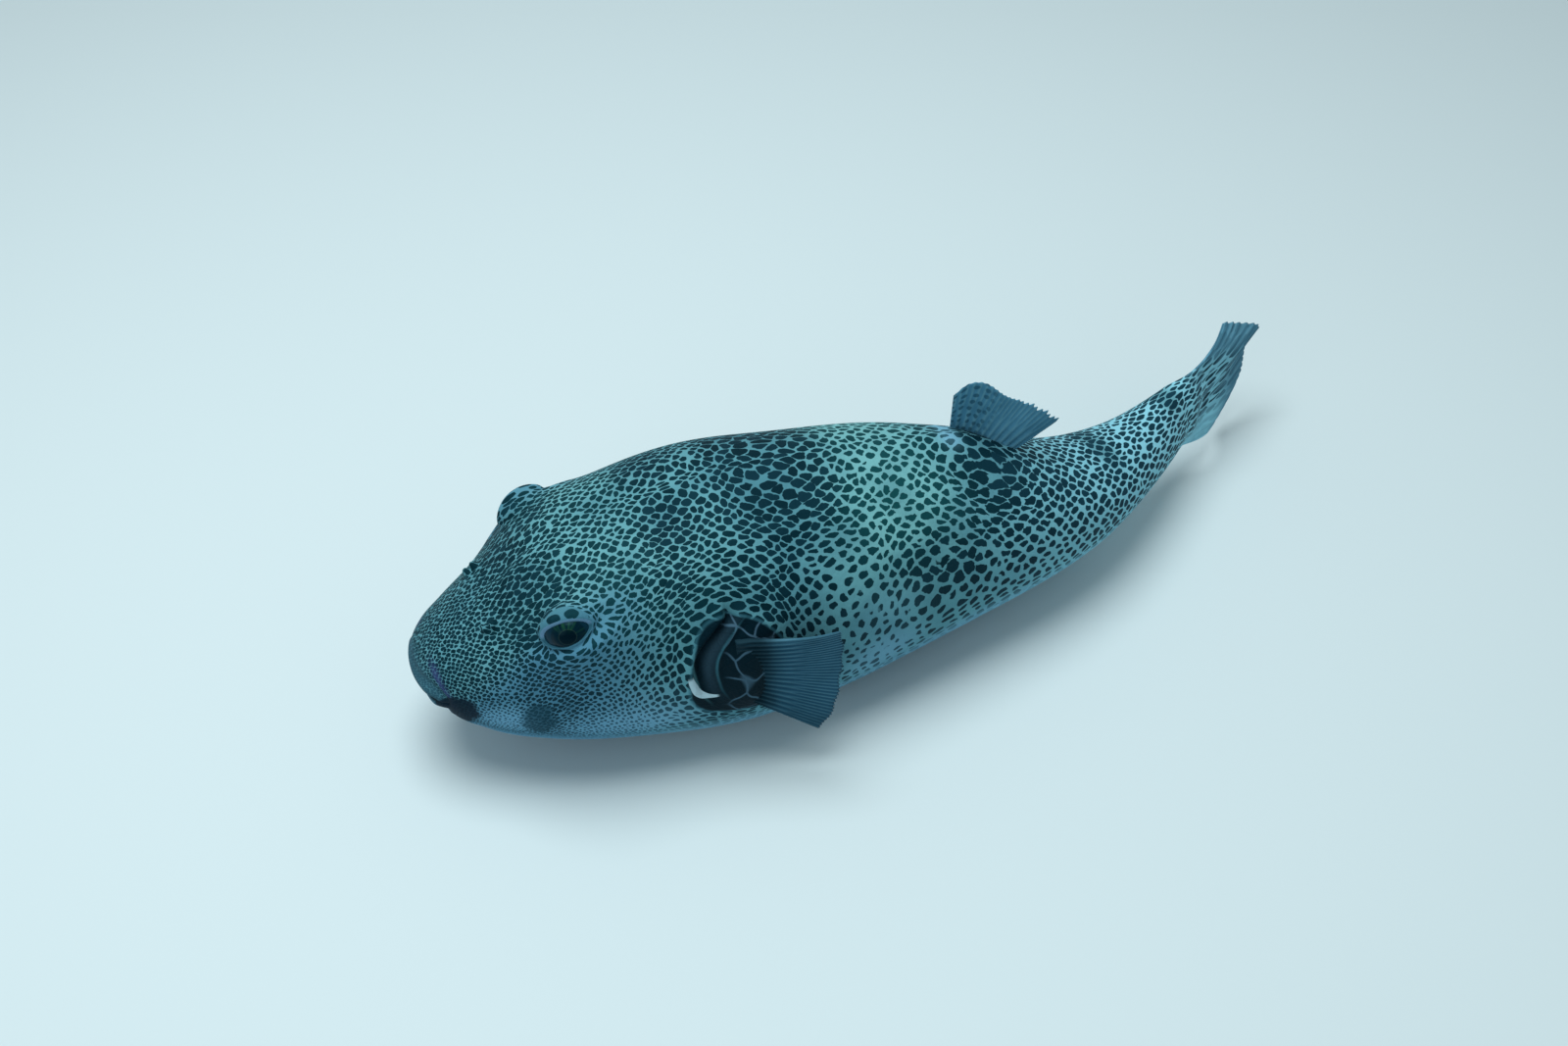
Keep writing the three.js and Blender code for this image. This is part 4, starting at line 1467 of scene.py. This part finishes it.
skin = make_skin()
paint_skin(skin)
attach(skin, "root")
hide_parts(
    "head", "trunk", "tail", "caudal_fin", "lip_upper", "lip_lower",
    "nostril_left", "nostril_right",
)

PECTORAL_COLORS = srgb(32, 74, 98), srgb(70, 118, 138), srgb(12, 48, 64)
DORSAL_COLORS = srgb(74, 134, 164), srgb(100, 156, 176), srgb(24, 70, 92)

FINS = [  # node, rays, the mesh's columns and rows, shape, colours, dark root, spotted
    (
        f"pectoral_fin_{name}", PECTORAL_RAYS, 170, 44, pectoral_place(side),
        PECTORAL_COLORS, 0.5, False,
    )
    for name, side in (("left", -1), ("right", 1))
] + [
    ("dorsal_fin", DORSAL_RAYS, 110, 40, dorsal_place, DORSAL_COLORS, 0.16, True),
    ("anal_fin", ANAL_RAYS, 100, 36, anal_place, DORSAL_COLORS, 0.1, False),
]
for node, rays, columns, rows, place, colors, root_end, spotted in FINS:
    fin = make_blade(node.replace("_fin", "_blade"), rays, columns, rows, place)
    paint_fin(fin, node, *colors, root_end, spotted)
    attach(fin, "root")
    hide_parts(node)

for cad_name, side in EYES:
    ball = make_eyeball(cad_name.replace("eye", "eyeball"), cad_name, side)
    paint_eye(ball)
    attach(ball, "root")
    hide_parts(cad_name)

for cad_name, lift in (("beak_upper", 1), ("beak_lower", -1)):
    beak = make_beak(cad_name.replace("beak", "beak_plate"), lift)
    paint_beak(beak)
    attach(beak, "root")
    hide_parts(cad_name)

# ---- floor, light and camera ------------------------------------------------------------

deselect_all()
bpy.ops.mesh.primitive_plane_add(size=14, location=(0, 0, 0))
floor = bpy.context.object
floor.name = "floor"
floor_finish = Finish("pale floor")
floor_finish.finish(floor, srgb(196, 214, 218), 0.75)


def area_light(name, place, target, size, watts):
    data = bpy.data.lights.new(name, "AREA")
    data.shape = "DISK"
    data.size = size
    data.energy = watts
    light = bpy.data.objects.new(name, data)
    bpy.context.scene.collection.objects.link(light)
    light.location = place
    aim = Vector(target) - Vector(place)
    light.rotation_euler = aim.to_track_quat("-Z", "Y").to_euler()


area_light("overhead", (-0.3, 0.2, 2.6), (0, 0, 0), 1.8, 62)
area_light("side", (-2.2, -1.6, 1.3), (0, 0, 0.1), 1.6, 10)

world = bpy.data.worlds.new("studio")
bpy.context.scene.world = world
world.use_nodes = True
background = world.node_tree.nodes["Background"].inputs
background["Color"].default_value = (0.84, 0.92, 0.95, 1)
background["Strength"].default_value = 0.42

CAMERA_TARGET = Vector((48, 93, 60)) * MM
CAMERA_DISTANCE = 1.5
CAMERA_TURN = math.radians(-20)
CAMERA_RISE = math.radians(44)
CAMERA_VIEW = math.radians(50)

camera_data = bpy.data.cameras.new("camera")
camera_data.sensor_width = 36
camera_data.lens = camera_data.sensor_width / 2 / math.tan(CAMERA_VIEW / 2)
camera = bpy.data.objects.new("camera", camera_data)
bpy.context.scene.collection.objects.link(camera)
away = Vector(
    (
        math.sin(CAMERA_TURN) * math.cos(CAMERA_RISE),
        -math.cos(CAMERA_TURN) * math.cos(CAMERA_RISE),
        math.sin(CAMERA_RISE),
    )
)
camera.location = CAMERA_TARGET + away * CAMERA_DISTANCE
camera.rotation_euler = (-away).to_track_quat("-Z", "Y").to_euler()
bpy.context.scene.camera = camera
bpy.context.scene.view_settings.view_transform = "Standard"
